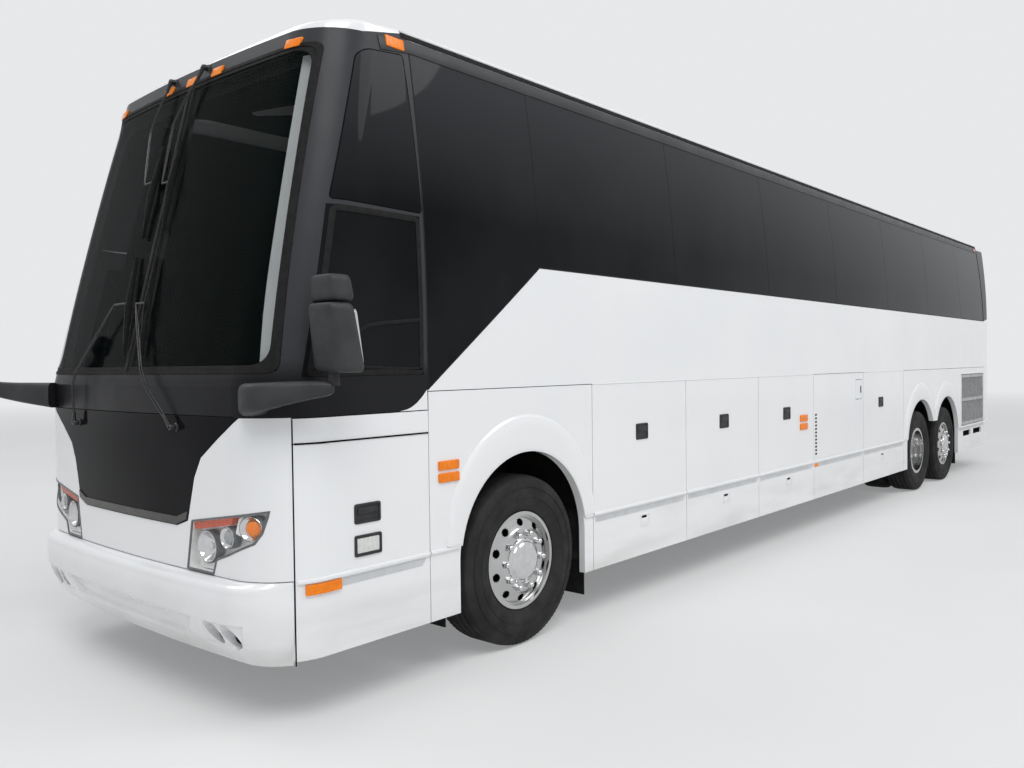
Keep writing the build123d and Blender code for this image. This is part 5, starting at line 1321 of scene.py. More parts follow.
def headlamps():
    """A silver tray with a raised rim, a chrome reflector, a projector, an amber turn lamp and strip."""
    outline = resample(rounded(LAMP_OUTLINE, 0.008, 4), 0.02)
    rim = [frame_plate(outline, 0.011, -0.03, 0.003, on_nose, 0.002)]
    tray = [frame_plate(inset(outline, 0.006), 0.006, -0.062, -0.004, on_nose, 0.002),
            patch(*lower_and_upper(inset(outline, 0.005), 60), -0.066, -0.058, on_nose, 16)]
    shelf = rounded([(0.705, 0.735), (0.835, 0.735), (0.855, 0.775), (0.712, 0.768)], 0.008, 3)
    shelf = resample(shelf, 0.02)
    tray.append(plate(shelf, -0.060, -0.022, on_nose, 0.004))
    for k in range(5):
        z = 0.742 + 0.007 * k
        tray.append(strip(line((0.712, z), (0.84, z), 8), 0.003, -0.03, -0.018, on_nose, 0.001))
    bridge = resample(rounded([(0.99, 0.93), (1.02, 1.01), (1.05, 1.015), (1.03, 0.92)], 0.01, 4), 0.02)
    tray.append(plate(bridge, -0.060, -0.016, on_nose, 0.006))
    x, z, radius = MAIN_BOWL
    bright = [lamp_bowl(MAIN_BOWL, dish(radius, -0.008, 0.055)),
              lamp_bowl((x, z, 0), [(-0.058, 0.017), (-0.030, 0.016), (-0.024, 0.010), (-0.023, 0.0)], 24)]
    bright.append(lamp_bowl(PROJECTOR, dish(PROJECTOR[2], -0.010, 0.018)))
    bright.append(lamp_bowl(TURN_LAMP, dish(TURN_LAMP[2], -0.010, 0.03)))
    lens = [lamp_bowl(PROJECTOR, dome(-0.022, 0.034, -0.020, 0.033, 0.013))]
    amber = [lamp_bowl(TURN_LAMP, dome(-0.030, 0.037, -0.022, 0.036, 0.014))]
    strip_lens = [patch(*lower_and_upper(rounded(TURN_STRIP, 0.005, 3), 30), -0.05, -0.008, on_nose, 5)]
    for spot in (MAIN_BOWL, PROJECTOR, TURN_LAMP):
        radius = spot[2]
        rim.append(lamp_bowl(spot, [(-0.05, radius * 1.09), (-0.010, radius * 1.085), (-0.009, radius * 1.07),
                                    (-0.010, radius * 1.05), (-0.03, radius * 1.05)]))
    build("headlamp_rims", both(rim), LAMP_RIM, ROOT, "lamp_bezel", 40)
    build("headlamp_strip_lenses", both(strip_lens), AMBER_RED, ROOT, "amber_lens", 40)
    stand_for(build("headlamp_trays", both(tray), LAMP_GREY, ROOT, "lamp_bezel", 30), "headlamps")
    build("headlamp_reflectors", both(bright), CHROME, ROOT, "lamp_bezel", 40)
    build("headlamp_projector_lenses", both(lens), LENS_GLASS, ROOT, "clear_glass", 40)
    build("headlamp_turn_lenses", both(amber), AMBER, ROOT, "amber_lens", 40)
    cover = patch(*lower_and_upper(inset(outline, 0.010), 60), -0.002, 0.0012, on_nose, 16)
    build("headlamp_covers", both([cover]), LAMP_COVER, ROOT, "clear_glass", 40)


headlamps()


# Wipers
WIPERS = (((0.541, 1.424), (0.234, 1.726), (0.014, 2.076), (0.080, 2.328), (0.152, 1.787)),
          ((-0.612, 1.408), (-0.585, 1.702), (-0.253, 2.084), (-0.167, 2.351), (-0.046, 1.790)),
          ((0.151, 3.415), (-0.030, 3.109), (-0.002, 2.758), (0.058, 3.003), (0.078, 2.469)),
          ((-0.220, 3.415), (-0.311, 3.120), (-0.226, 2.785), (-0.142, 2.996), (-0.149, 2.458)))


def off_nose(points, proud):
    """Points in (x, z) standing off the nose."""
    points = np.asarray(points, float)
    return on_nose(points[:, 0], points[:, 1], np.broadcast_to(proud, len(points)))


def wiper(pivot, knee, joint, top, low):
    """Two parallel rods from the pivot over a knee to the joint, bows over the blade, its rubber lip."""
    pivot, knee, joint, top, low = (np.asarray(p, float) for p in (pivot, knee, joint, top, low))
    arm_line = np.concatenate([line(pivot, knee, 12)[:-1], line(knee, joint, 14)])
    metal, rubber = [], []
    run = arm_line[-1] - arm_line[0]
    side = np.array([-run[1], run[0]]) / np.linalg.norm(run)
    lift = np.concatenate([np.linspace(0.030, 0.044, 8), np.full(len(arm_line) - 8, 0.044)])
    for shift in (-0.009, 0.009):
        run = np.linspace(0, 6, len(arm_line))[:, None]
        fade = np.minimum(1, run) * np.minimum(1, np.linspace(6, 0, len(arm_line))[:, None])
        metal.append(tube(off_nose(arm_line + side * shift * (0.3 + 0.7 * fade), lift), 0.0042, 8))
    metal.append(tube(off_nose(line(pivot, pivot + 0.22 * (knee - pivot), 6), 0.033),
                      np.linspace(0.013, 0.008, 6), 10))
    centre = on_nose(pivot[0], pivot[1], 0.0)
    boss = [(-0.01, 0.022), (0.004, 0.022), (0.010, 0.017), (0.034, 0.016), (0.040, 0.013), (0.042, 0.0)]
    metal.append(bowl(tuple(centre), boss, 20))
    share = np.clip((top[1] - joint[1]) / (top[1] - low[1]), 0, 1)
    middle = top + (low - top) * share
    metal.append(tube(off_nose(line(joint, middle, 4), 0.042), 0.006, 8))
    for a, b in ((0.12, 0.46), (0.54, 0.88)):
        ends = [top + (low - top) * t for t in (a, (a + b) / 2, b)]
        bow = curve_through(ends, 9)
        metal.append(tube(off_nose(bow, 0.026 + 0.010 * np.sin(np.linspace(0, math.pi, 9))), 0.0035, 6))
    metal.append(tube(off_nose(curve_through([top + (low - top) * t for t in (0.29, 0.5, 0.71)], 9),
                               0.034 + 0.010 * np.sin(np.linspace(0, math.pi, 9))), 0.004, 6))
    blade = line(top, low, 24)
    rubber.append(tube(off_nose(blade, 0.022), 0.005, 6))
    rubber.append(tube(off_nose(blade, 0.013), 0.0075, 6, 0.35))
    return metal, rubber


def wipers():
    """Two stand on the nose mask and two hang from the cap; each row is pivot, knee, joint, blade ends."""
    metal, rubber = [], []
    for spots in WIPERS:
        rods, lips = wiper(*spots)
        metal += rods
        rubber += lips
    stand_for(build("wiper_arms", metal, WIPER_METAL, ROOT, "black_plastic"), "wipers")
    build("wiper_blades", rubber, RUBBER, ROOT, "flap_rubber")


wipers()


# Mirrors
MIRROR_HEAD_Z = 1.690


def rounded_head(centre, half, low, high, lean, power=4.0, roll=0.035):
    """Stacked rounded rectangles, smaller over a rolled top and bottom; the stack leans."""
    t = np.linspace(0, math.pi / 2, 6)
    bottom = [(low + roll * (1 - math.cos(a)), 1 - 0.20 * (1 - math.sin(a))) for a in t]
    top = [(high - roll * (1 - math.cos(a)), 1 - 0.20 * (1 - math.sin(a))) for a in t[::-1]]
    middle = [(z, 1.0) for z in np.linspace(low + roll, high - roll, 6)[1:-1]]
    rings = []
    for z, size in bottom + middle + top:
        share = (z - low) / (high - low)
        spot = (centre[0] + lean[0] * (0.5 - share), centre[1] + lean[1] * (0.5 - share), z)
        taper = size * (1.0 - 0.10 * share)
        rings.append(super_ring(spot, (half[0] * taper, half[1] * taper), power))
    return grid(np.array(rings), close_columns=True)


def mirror_arm(route):
    """A tapering arm: superellipse sections, tall at the nose and slim at the head, along the route."""
    path = curve_through(route, 26)
    tangent = np.gradient(path, axis=0)
    tangent[:, 2] = 0
    tangent = unit(tangent)
    side = np.stack([tangent[:, 1], -tangent[:, 0], 0 * tangent[:, 0]], -1)
    share = np.linspace(0, 1, len(path))[:, None]
    tall = 0.078 - 0.046 * share
    tall = tall * np.minimum(1, 0.72 + 6 * (1 - share))
    wide = 0.072 - 0.022 * share
    a = np.linspace(0, 2 * math.pi, 24, endpoint=False)[None, :]
    u = signed_power(np.cos(a), 0.5) * wide
    v = signed_power(np.sin(a), 0.5) * tall
    points = path[:, None] + side[:, None] * u[..., None]
    points[..., 2] += v
    return grid(points, close_columns=True)


LEFT_ARM = ((1.130, 0.085, 1.570), (1.190, 0.055, 1.578), (1.28, 0.095, 1.592), (1.40, 0.205, 1.612),
            (1.475, 0.275, 1.620))
RIGHT_ARM = ((1.040, 0.040, 1.562), (1.13, -0.040, 1.574), (1.26, -0.125, 1.590), (1.40, -0.215, 1.612),
             (1.475, -0.255, 1.620))
MIRROR_X = 1.478


def mirror_unit(arm, reach, depth, lean):
    """An arm, two stacked heads and the neck through them, and two panes sunk in the heads' rear faces."""
    y, z = NOSE_Y + reach, MIRROR_HEAD_Z
    shells = [mirror_arm([(px, NOSE_Y + py, pz) for px, py, pz in arm]),
              rounded_head((MIRROR_X, y), (0.114, depth), z, z + 0.315, (0.0, lean)),
              rounded_head((MIRROR_X - 0.008, y - 0.010), (0.100, 0.070), z + 0.325, z + 0.444, (0.0, 0.012))]
    neck = [(MIRROR_X - 0.01, y - 0.005, height) for height in np.linspace(1.632, z + 0.34, 6)]

    def place(u, v, w):
        """A pane's plane behind the head, tipped forward with height."""
        return np.stack([MIRROR_X - 0.004 + u, y + 0.070 + w + (z + 0.16 - v) * 0.15, v], -1)

    panes = [plate(box_outline(-half, half, z + low, z + high, 0.03), -0.01, 0.006, place, 0.002)
             for low, high, half in ((0.022, 0.295, 0.092), (0.342, 0.430, 0.080))]
    return shells, [tube(neck, [0.030, 0.026, 0.024, 0.024, 0.024, 0.024], 14)], panes


def mirrors():
    """The left unit as it is and the right one, which reaches further forward, mirrored across."""
    left = mirror_unit(LEFT_ARM, 0.290, 0.082, 0.05)
    right = mirror_unit(RIGHT_ARM, -0.250, 0.066, 0.02)
    shells, necks, panes = ([*a, *(mirror_of(part) for part in b)] for a, b in zip(left, right))
    stand_for(build("mirror_shells", shells, MIRROR_GREY, ROOT, "black_plastic", 40), "mirrors")
    build("mirror_necks", necks, PLASTIC, ROOT, "black_plastic", 40)
    build("mirror_glasses", panes, CHROME, ROOT, "lamp_bezel", 40)


mirrors()


# Driver's window and the panel over it
WINDOW_EDGE = ((-1.580, 1.672), (-1.402, 2.508), (-0.842, 2.508), (-0.842, 1.672))
UPPER_PANEL = ((-1.399, 2.540), (-1.173, 3.303), (-1.110, 3.345), (-0.864, 3.375), (-0.825, 2.532))


SLIDER_EDGE = ((-1.345, 1.72), (-1.335, 1.80), (-1.300, 1.87), (-1.235, 1.915), (-1.15, 1.932),
               (-1.00, 1.948), (-0.860, 1.962))


def stations(points):
    """Stations behind the front axle as places along Y, their heights kept."""
    return [(at(s), z) for s, z in points]


def driver_window():
    """A rubber frame, the sliding pane's frame with its rounded corner, and the glossy panel above."""
    place = on_side(1)
    edge = resample(rounded(stations(WINDOW_EDGE), 0.04, 6), 0.03)
    slider = curve_through(stations(SLIDER_EDGE), 30)
    sill = line((at(-1.50), 1.725), (at(-0.86), 1.70), 20)
    parts = [frame_plate(edge, 0.030, -0.02, 0.004, place, 0.002),
             strip(slider, 0.020, -0.01, 0.005, place, 0.002),
             strip(sill, 0.014, -0.01, 0.004, place, 0.002)]
    build("driver_window_frame", parts, RUBBER, ROOT, "black_plastic")
    panel = resample(rounded(stations(UPPER_PANEL), (0.02, 0.03, 0.03, 0.02, 0.02), 5), 0.04)
    glass = patch(*lower_and_upper(panel, 50), -0.003, 0.0016, place, 40)
    build("driver_upper_panel", [glass], SIDE_GLASS, ROOT, "glass")
    seam = frame_plate(inset(panel, -0.006), 0.006, -0.004, 0.0008, place, 0.0004)
    build("driver_upper_seam", [seam], SHADOW, ROOT, "black_plastic")


driver_window()


# Rails along the side glass
GLASS_SEAMS = [at(-0.813)] + [at(0.155 + step) for step in (0.0, 1.645, 3.295, 4.945, 6.585, 8.235, 9.875)]
PANE_LOW, PANE_HIGH = 2.314, 3.405
TAIL_STATION = 11.400


def glass_rails():
    """Over the panes: a satin rail, a black groove and a thin pale strip; between the panes: black seals."""
    for side, sign in SIDES:
        place = on_side(sign)
        ends = (at(-1.02), at(TAIL_STATION) - 0.01)
        y = np.linspace(*ends, 60)
        front_drop = 0.030 * np.clip((at(-0.80) - y) / 0.22, 0, 1) ** 2
        rail = strip(np.stack([y, 3.436 - front_drop], -1), 0.074, -0.004, 0.005, place, 0.003)
        build("glass_rail_" + side, [rail], RAIL_GREY, ROOT, "dark_cap")
        y = np.linspace(at(-0.86), ends[1], 60)
        groove = strip(np.stack([y, 0 * y + 3.4905], -1), 0.030, -0.004, 0.0012, place, 0.0005)
        seams = [groove]
        for seam in GLASS_SEAMS[1:]:
            upright = line((seam, PANE_LOW), (seam, PANE_HIGH), 30)
            seams.append(strip(upright, 0.0075, -0.012, -0.0012, place, 0.0005))
        edge = [(GLASS_SEAMS[0] + 0.002, PANE_HIGH), (GLASS_SEAMS[0] + 0.002, 1.592),
                (GLASS_SEAMS[1] + 0.001, PANE_LOW - 0.001),
                (at(TAIL_STATION) - 0.003, PANE_LOW - 0.001), (at(TAIL_STATION) - 0.003, PANE_HIGH)]
        for a, b in zip(edge, edge[1:]):
            seams.append(strip(line(a, b, 40), 0.009, -0.012, 0.0006, place, 0.0004))
        build("glass_seals_" + side, seams, RUBBER, ROOT, "black_plastic")
        pale = strip(np.stack([y, 0 * y + 3.5125], -1), 0.011, -0.004, 0.003, place, 0.0015)
        build("roof_drip_strip_" + side, [pale], GROOVE_GREY, ROOT, "body_paint")


def tail_corners():
    """The dark panel that carries the side glass round the tail's corner, its seam, and black plates of
    painted shade behind the slots.
    """
    front = HALF_WIDTH + 0.001 - TAIL_CORNER + TAIL_CORNER * math.pi / 2 + TAIL_Y - TAIL_CORNER
    front = front - at(TAIL_STATION) - 0.006
    for side, sign in SIDES:
        s = np.linspace(front, 1.16, 30)
        low = np.stack([sign * s, PANE_LOW + 0.07 * (front - s) / (front - 1.16)], -1)
        high = np.stack([sign * s, 3.455 + 0 * s], -1)
        panel = patch(low, high, -0.003, 0.003, round_tail, 26)
        build("tail_corner_panel_" + side, [panel], SIDE_GLASS, ROOT, "glass")
        edge = line((sign * (front + 0.003), PANE_LOW), (sign * (front + 0.003), 3.455), 30)
        build("tail_corner_seam_" + side, [strip(edge, 0.006, -0.003, 0.004, round_tail, 0.001)], RUBBER,
              ROOT, "black_plastic")
        # Black plates behind the two skirt slots are painted shade in the openings.
        painted_shade_slots = [side_plate(sign, a, b, 0.553, 0.647, -0.040, -0.022, 0.006, 0.002)
                 for a, b in ((10.115, 10.565), (10.705, 11.205))]
        build("tail_slot_backs_" + side, painted_shade_slots, SHADOW, ROOT, "black_plastic")


def tail():
    """Rear window seal; on the engine door slats before a black plate of painted shade, a blank plate and a
    handle.
    """
    low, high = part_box("rear_window")
    outline = box_outline(low[0], high[0], low[2], high[2], 0.05)
    seal = frame_plate(inset(outline, -0.012), 0.032, -0.004, 0.006, on_tail, 0.003)
    build("rear_window_seal", [seal], RUBBER, ROOT, "black_plastic")
    low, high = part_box("engine_door")
    slats = []
    half = min(0.62, high[0] - 0.12)
    for k in range(9):
        z = low[2] + 0.20 + 0.030 * k
        slats.append(strip(line((-half, z), (half, z), 3), 0.014, -0.002, 0.009, on_tail, 0.004))
    body = "engine_door_body"
    build("engine_door_slats", slats, PLASTIC, body, "black_plastic")
    middle = (low[2] + high[2]) / 2 + 0.05
    # The black plate under the slats is painted shade for the dark gaps of the grille.
    shade_outline = box_outline(-half - 0.015, half + 0.015, low[2] + 0.18, low[2] + 0.46, 0.015)
    holder = box_outline(-0.17, 0.17, middle - 0.09, middle + 0.09, 0.015)
    blank = box_outline(-0.152, 0.152, middle - 0.076, middle + 0.076, 0.01)
    handle = box_outline(-0.09, 0.09, high[2] - 0.12, high[2] - 0.06, 0.012)
    for name, outline, back, front, soft, material, slot in (
            ("grille_back", shade_outline, -0.002, 0.002, 0.001, SHADOW, "black_plastic"),
            ("plate_holder", holder, -0.002, 0.004, 0.002, PLASTIC, "black_plastic"),
            ("blank_plate", blank, 0.003, 0.0055, 0.001, GROOVE_GREY, "trim"),
            ("handle", handle, -0.002, 0.010, 0.005, PLASTIC, "black_plastic")):
        build("engine_door_" + name, [plate(outline, back, front, on_tail, soft)], material, body, slot)


glass_rails()
tail_corners()
tail()


# Lower side, each piece on the body that carries it
BAY_EDGES = (0.683, 1.921, 3.197, 4.446)
REAR_BAY = (5.858, 7.290)
DOOR_GAP = 0.004
RAIL_Z = (0.696, 0.720)
STRIP_Z = (0.652, 0.690)


def rail_run(sign, front, rear):
    """A white moulding with a rounded nose over a slim grey strip whose ends slant."""
    place = on_side(sign)
    middle = sum(RAIL_Z) / 2
    count = max(2, int((rear - front) / 0.03))
    moulding = strip(line((at(front), middle), (at(rear), middle), count), RAIL_Z[1] - RAIL_Z[0], -0.004,
                     0.011, place, 0.008)
    low, high = STRIP_Z
    start = max(front + 0.022, -1.405)
    foot = line((at(start), low), (at(rear) - 0.052, low), count)
    head = line((at(start), high), (at(rear) - 0.022, high), count)
    return moulding, patch(foot, head, -0.004, 0.0012, place, 3)


def latch(sign, station, z, wide=0.118, tall=0.108):
    """A black paddle latch: a rimmed frame, a sunk dish and a paddle that stands in it."""
    s, e, low, high = at(station - wide / 2), at(station + wide / 2), z - tall / 2, z + tall / 2
    place = on_side(sign)
    outer = box_outline(s, e, low, high, 0.014)
    parts = [frame_plate(outer, 0.013, -0.004, 0.006, place, 0.003),
             plate(inset(outer, 0.008), -0.004, 0.0012, place, 0.0005)]
    paddle = box_outline(s + 0.020, e - 0.020, z - 0.004, high - 0.020, 0.008)
    parts.append(plate(paddle, 0.0, 0.0075, place, 0.004))
    return parts


def pull(sign, station, z, wide=0.120, tall=0.088):
    """A white sunk pull: a raised rim, and a dark slot of painted shade under its upper lip."""
    place = on_side(sign)
    s, e, low, high = at(station - wide / 2), at(station + wide / 2), z - tall / 2, z + tall / 2
    outer = box_outline(s, e, low, high, 0.012)
    rim = frame_plate(outer, 0.010, -0.004, 0.0045, place, 0.002)
    lip = plate(box_outline(s + 0.020, e - 0.012, low + 0.012, high - 0.032, 0.006),
                -0.002, 0.0030, place, 0.0015)
    slot = plate(box_outline(s + 0.014, e - 0.040, high - 0.030, high - 0.014, 0.005),
                 -0.002, 0.0018, place, 0.0008)
    return [rim, lip], [slot]


def lens(sign, front, rear, low, high, proud=0.011):
    """A moulded lens with a rounded rim and four upright flutes."""
    parts = [side_plate(sign, front, rear, low, high, -0.002, proud, 0.008, 0.004)]
    for k in range(4):
        s = front + (rear - front) * (k + 0.8) / 4.6
        parts.append(strip(line((at(s), low + 0.008), (at(s), high - 0.008), 4), 0.006, proud - 0.004,
                           proud + 0.0009, on_side(sign), 0.0009))
    return parts


FIXED_RUNS = ((-0.810, -0.590), (0.590, 0.676), (4.452, 5.852), (7.296, 7.436), (9.836, 11.390))
SERVICE_DOOR = (-1.640, -0.817)
LATCH_AND_PULL = ((1.291, 1.323), (2.548, 2.584), (3.798, 3.844), (6.445, 6.501))
LATCH_Z, PULL_Z = 1.226, 0.585
VENT_COUNT, VENT_FIRST_Z, VENT_PITCH, VENT_TALL = 12, 0.775, 0.0355, 0.019
VENT_SIDES = (4.481, 4.522)


def cornering_lamp():
    """A frosted, fluted lens on the service door, and the black frame round it."""
    place = on_side(1)
    outer = box_outline(at(-1.324), at(-1.152), 0.776, 0.882, 0.012)
    bezel = [frame_plate(outer, 0.014, -0.004, 0.008, place, 0.003),
             plate(inset(outer, 0.008), -0.004, 0.001, place, 0.0005)]
    lens_edge = box_outline(at(-1.308), at(-1.168), 0.792, 0.866, 0.006)
    parts = [plate(lens_edge, 0.0, 0.005, place, 0.002)]
    for k in range(5):
        s = at(-1.30 + 0.026 * k + 0.008)
        parts.append(strip(line((s, 0.797), (s, 0.861), 4), 0.008, 0.003, 0.0062, place, 0.0015))
    build("cornering_lamp", parts, FROSTED, "service_door_body", "lamp_bezel")
    return bezel


def lower_side():
    """Gathers rails, strips, latches, pulls and slots by body, and builds one piece of each kind for it."""
    rails, strips, latches, pulls, painted_shade_slots = ({} for _ in range(5))

    def add(store, body, parts):
        """Adds parts to those that one body carries."""
        store.setdefault(body, []).extend(parts)

    for side, sign in SIDES:
        bays = enumerate(zip(BAY_EDGES, BAY_EDGES[1:]), 1)
        doors = [("bay_door_%s_%d_body" % (side, k), front, rear) for k, (front, rear) in bays]
        doors.append(("rear_bay_door_%s_body" % side,) + REAR_BAY)
        if side == "left":
            doors.append(("service_door_body",) + SERVICE_DOOR)
        for body, front, rear in doors:
            moulding, grey = rail_run(sign, front + DOOR_GAP, rear - DOOR_GAP)
            add(rails, body, [moulding])
            add(strips, body, [grey])
        for front, rear in FIXED_RUNS:
            moulding, grey = rail_run(sign, front, rear)
            add(rails, ROOT, [moulding])
            if rear - front > 1:
                add(strips, ROOT, [grey])
        for (body, _, _), (latch_at, pull_at) in zip(doors, LATCH_AND_PULL):
            add(latches, body, latch(sign, latch_at, LATCH_Z, 0.156, 0.116))
            white, dark = pull(sign, pull_at, PULL_Z)
            add(pulls, body, white)
            add(painted_shade_slots, body, dark)
        # Each vent slot is a thin black plate of painted shade in place of a dark louvre opening.
        for k in range(VENT_COUNT):
            z = VENT_FIRST_Z + k * VENT_PITCH
            vent = side_plate(sign, *VENT_SIDES, z, z + VENT_TALL, -0.004, 0.0012, 0.004, 0.0006)
            add(painted_shade_slots, ROOT, [vent])
    add(latches, "service_door_body", latch(1, -1.239, 0.988, 0.168, 0.100))
    add(latches, "service_door_body", cornering_lamp())
    add(latches, "filler_flap_body", [side_plate(1, 5.765, 5.790, 1.355, 1.430, -0.003, 0.004, 0.006, 0.002)])
    kinds = ((rails, "rail", WHITE, "body_paint"), (strips, "grey_strip", GROOVE_GREY, "body_paint"),
             (latches, "latch", PLASTIC, "black_plastic"), (pulls, "pull", WHITE, "body_paint"),
             (painted_shade_slots, "dark_slot", SHADOW, "black_plastic"))
    for store, label, material, slot in kinds:
        for body, parts in store.items():
            build("%s_%s" % (body.replace("_body", ""), label), parts, material, body, slot)


lower_side()


# Amber and red lamps
ROOF_MARKERS = (-0.930, -0.270, 0.0, 0.270, 0.930)
MARKER_Z = (3.345, 3.392)
SIDE_LENSES = ((-0.746, -0.589, 1.079, 1.130), (-0.746, -0.589, 1.146, 1.197),
               (4.103, 4.277, 1.047, 1.110), (4.103, 4.277, 1.128, 1.191))
TAIL_BLOCKS = ((0.960, 1.120, 0.900, 1.060), (0.960, 1.120, 1.080, 1.240), (0.960, 1.120, 1.260, 1.420),
               (0.900, 1.050, 3.310, 3.350))


def marker(x):
    """A slanted lens on the roof's front edge, leaning towards the middle."""
    low, high = MARKER_Z
    outline = rounded([(x - 0.056, low), (x + 0.046, low), (x + 0.056, high), (x - 0.046, high)], 0.007)
    return plate(outline, -0.002, 0.012, on_nose, 0.004)


def lamps():
    """Roof markers and side lamps in amber, and red blocks with ringed lenses at the tail."""
    amber = [marker(x) for x in ROOF_MARKERS]
    red = []
    for side, sign in SIDES:
        amber += lens(sign, -0.975, -0.849, 3.400, 3.460)
        for front, rear, low, high in SIDE_LENSES:
            amber += lens(sign, front, rear, low, high)
        amber += lens(sign, 4.455, 4.555, 0.655, 0.690, 0.004)
        red += [side_plate(sign, 11.20, 11.32, 3.425, 3.462, -0.002, 0.012, 0.008, 0.004)]
    y = np.linspace(at(-1.602), at(-1.413), 16)
    reflector = patch(np.stack([y, 0 * y + 0.643], -1), np.stack([y, 0 * y + 0.692], -1), -0.002, 0.013,
                      on_side(1), 5)
    build("side_reflector_lens", [reflector], AMBER, "service_door_body", "amber_lens")
    stand_for(build("amber_lamp_lenses", amber, AMBER, ROOT, "amber_lens"), "amber_lamps")
    for sign in (-1, 1):
        for left, right, low, high in TAIL_BLOCKS:
            outline = box_outline(left, right, low, high, 0.02)
            block = [plate(outline, -0.004, 0.010, on_tail, 0.005)]
            if high - low > 0.1:
                block += [frame_plate(inset(outline, step), 0.004, 0.008, 0.0112, on_tail, 0.001)
                          for step in (0.025, 0.045)]
            red += block if sign > 0 else [mirror_of(part) for part in block]
    stand_for(build("tail_lamp_lenses", red, RED, ROOT, "red_lens"), "tail_lamps")


lamps()


# Cab and seats
WHEEL_CENTRE = np.array([0.620, -5.973, 1.900])
WHEEL_TILT = math.radians(35)


def on_wheel(points):
    """From the steering wheel's own plane into the cab: turned about X by the column's tilt."""
    points = np.asarray(points, float)
    c, s = math.cos(WHEEL_TILT), math.sin(WHEEL_TILT)
    y = points[..., 1] * c + points[..., 2] * s
    z = -points[..., 1] * s + points[..., 2] * c
    return np.stack([points[..., 0], y, z], -1) + WHEEL_CENTRE


def steering_wheel():
    """A round rim, three flat spokes that thicken to a domed hub."""
    a = np.linspace(0, 2 * math.pi, 72, endpoint=False)
    b = np.linspace(0, 2 * math.pi, 14, endpoint=False)
    radius = 0.230 + 0.0135 * np.cos(b)[None, :]
    rim = np.stack([radius * np.cos(a)[:, None], radius * np.sin(a)[:, None],
                    0 * a[:, None] + 0.0135 * np.sin(b)[None, :]], -1)
    parts = [grid(on_wheel(rim), close_rows=True, close_columns=True)]
    for turn in (-90, 30, 150):
        t = math.radians(turn)
        run = np.linspace(0.035, 0.228, 10)
        half = np.interp(run, [0.035, 0.12, 0.228], [0.030, 0.017, 0.014])
        ring = []
        for r, h in zip(run, half):
            local = np.array([(r, -h, -0.014), (r, h, -0.014), (r, h * 0.8, -0.004), (r, -h * 0.8, -0.004)])
            ring.append(np.stack([local[:, 0] * math.cos(t) - local[:, 1] * math.sin(t),
                                  local[:, 0] * math.sin(t) + local[:, 1] * math.cos(t), local[:, 2]], -1))
        parts.append(grid(on_wheel(np.array(ring)), close_columns=True))
    hub = [(-0.038, 0.046), (-0.012, 0.048), (-0.002, 0.040), (0.004, 0.020), (0.005, 0.0)]
    c = np.linspace(0, 2 * math.pi, 32, endpoint=False)
    points = np.array([[(r * math.cos(t), r * math.sin(t), z) for t in c] for z, r in hub])
    parts.append(grid(on_wheel(points), close_columns=True))
    stand_for(build("steering_wheel_rim", parts, PLASTIC, "steering_wheel_body", "black_plastic", 50),
              "steering_wheel")


def cushion(centre, half, tilt=0.0, power=3.2, crown=0.35, rows=15, columns=26):
    """A closed pad: a superellipsoid whose faces crown to the middle, leaned back about X by the tilt."""
    u = np.linspace(-math.pi / 2, math.pi / 2, rows)[:, None]
    v = np.linspace(-math.pi, math.pi, columns, endpoint=False)[None, :]
    p = 2 / power
    x = signed_power(np.cos(u), p) * signed_power(np.cos(v), p)
    y = signed_power(np.cos(u), p) * signed_power(np.sin(v), p)
    z = signed_power(np.sin(u), p) + 0 * v
    swell = 1 + crown * 0.2 * (1 - x**2) * (1 - y**2) * (1 - z**2)
    x, y, z = x * half[0] * swell, y * half[1] * swell, z * half[2]
    c, s = math.cos(tilt), math.sin(tilt)
    return grid(np.stack([centre[0] + x, centre[1] + y * c + z * s, centre[2] - y * s + z * c], -1),
                close_columns=True, caps=False)


DECK = 1.600
PLATFORM = 1.300
FIRST_ROW, ROW_PITCH, ROW_COUNT = 0.620, 0.810, 13
ARM_REST = ((0.26, 0.62), (0.10, 0.625), (-0.08, 0.61))
DRIVER_X = 0.62
SEAT_PEDESTAL = ((0.002, 0.150), (0.05, 0.145), (0.10, 0.120), (0.20, 0.125), (0.255, 0.170), (0.268, 0.172))


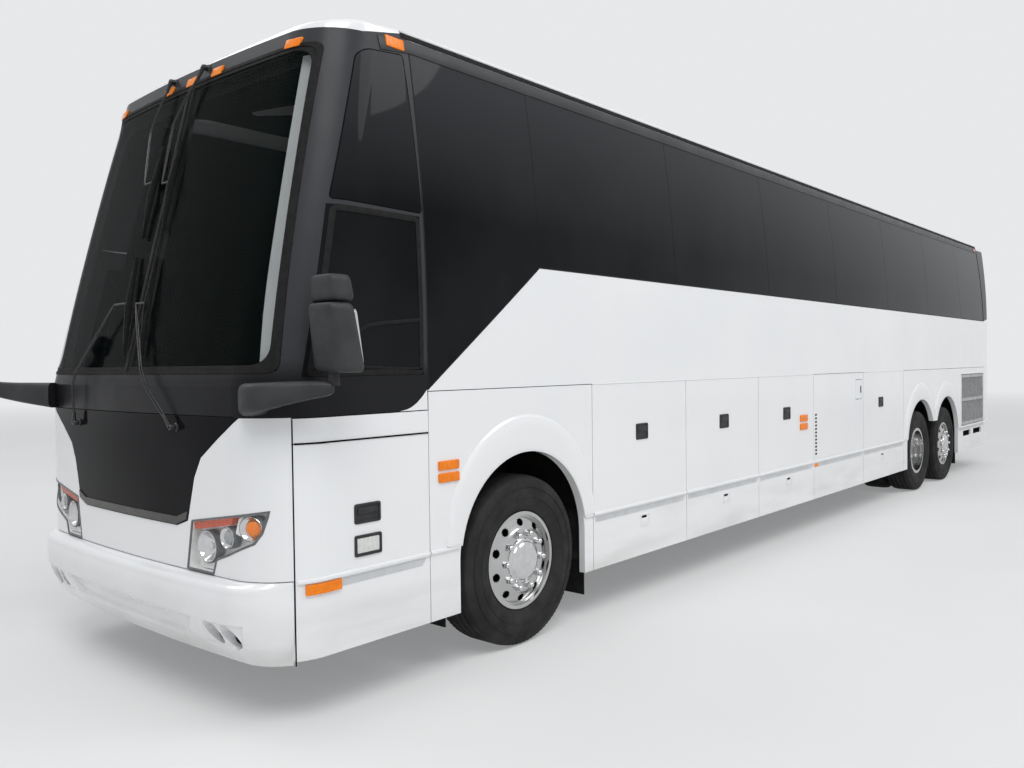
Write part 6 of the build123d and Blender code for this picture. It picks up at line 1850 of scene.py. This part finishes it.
def seats():
    """Padded cushions, backs, headrests and bolsters in cloth over plain tube frames and legs, and a moulded
    pedestal under the driver's seat.
    """
    pads, shells = [], []
    for row in range(ROW_COUNT):
        y = at(FIRST_ROW + row * ROW_PITCH)
        for sign in (-1, 1):
            for x in (0.475, 0.945):
                spot = sign * x
                pads.append(cushion((spot, y - 0.015, DECK + 0.390), (0.222, 0.205, 0.052), -0.05))
                pads.append(cushion((spot, y + 0.282, DECK + 0.740), (0.215, 0.055, 0.330), -0.20))
                pads.append(cushion((spot, y + 0.345, DECK + 1.040), (0.150, 0.050, 0.080), -0.20))
            x0, x1 = sign * 0.24, sign * 1.18
            for leg in (0.42, 1.00):
                path = [(sign * leg, y + 0.07, DECK + 0.004), (sign * leg, y + 0.07, DECK + 0.345)]
                shells.append(tube(line(*path, 3), 0.020, 8))
            shells.append(tube(line((x0, y + 0.05, DECK + 0.338), (x1, y + 0.05, DECK + 0.338), 4), 0.016, 8))
            for x in (0.245, 0.710, 1.175):
                arm = curve_through([(sign * x, y + back, DECK + high) for back, high in ARM_REST], 8)
                shells.append(tube(arm, 0.015, 8))
    piece = build("passenger_seat_pads", pads, SEAT_CLOTH, ROOT, "seat", 60)
    stand_for(piece, "passenger_seats")
    build("passenger_seat_frames", shells, PLASTIC, ROOT, "black_plastic", 50)
    y = at(-0.56)
    fine = (3.2, 0.35, 21, 36)
    driver = [cushion((DRIVER_X, y, PLATFORM + 0.330), (0.225, 0.235, 0.066), -0.04, *fine),
              cushion((DRIVER_X, y + 0.330, PLATFORM + 0.690), (0.215, 0.058, 0.330), -0.16, *fine),
              cushion((DRIVER_X, y + 0.395, PLATFORM + 1.010), (0.130, 0.045, 0.062), -0.16)]
    for side in (-1, 1):
        spot = (DRIVER_X + side * 0.185, y + 0.300, PLATFORM + 0.640)
        driver.append(cushion(spot, (0.036, 0.060, 0.250), -0.16))
    piece = build("driver_seat_pads", driver, SEAT_CLOTH, ROOT, "seat", 60)
    stand_for(piece, "driver_seat")
    rings = [super_ring((DRIVER_X, y + 0.01, PLATFORM + up), (w, w * 1.05), 4.0) for up, w in SEAT_PEDESTAL]
    base = [grid(np.array(rings), close_columns=True)]
    build("driver_seat_base", base, PLASTIC, ROOT, "black_plastic", 40)


steering_wheel()
seats()
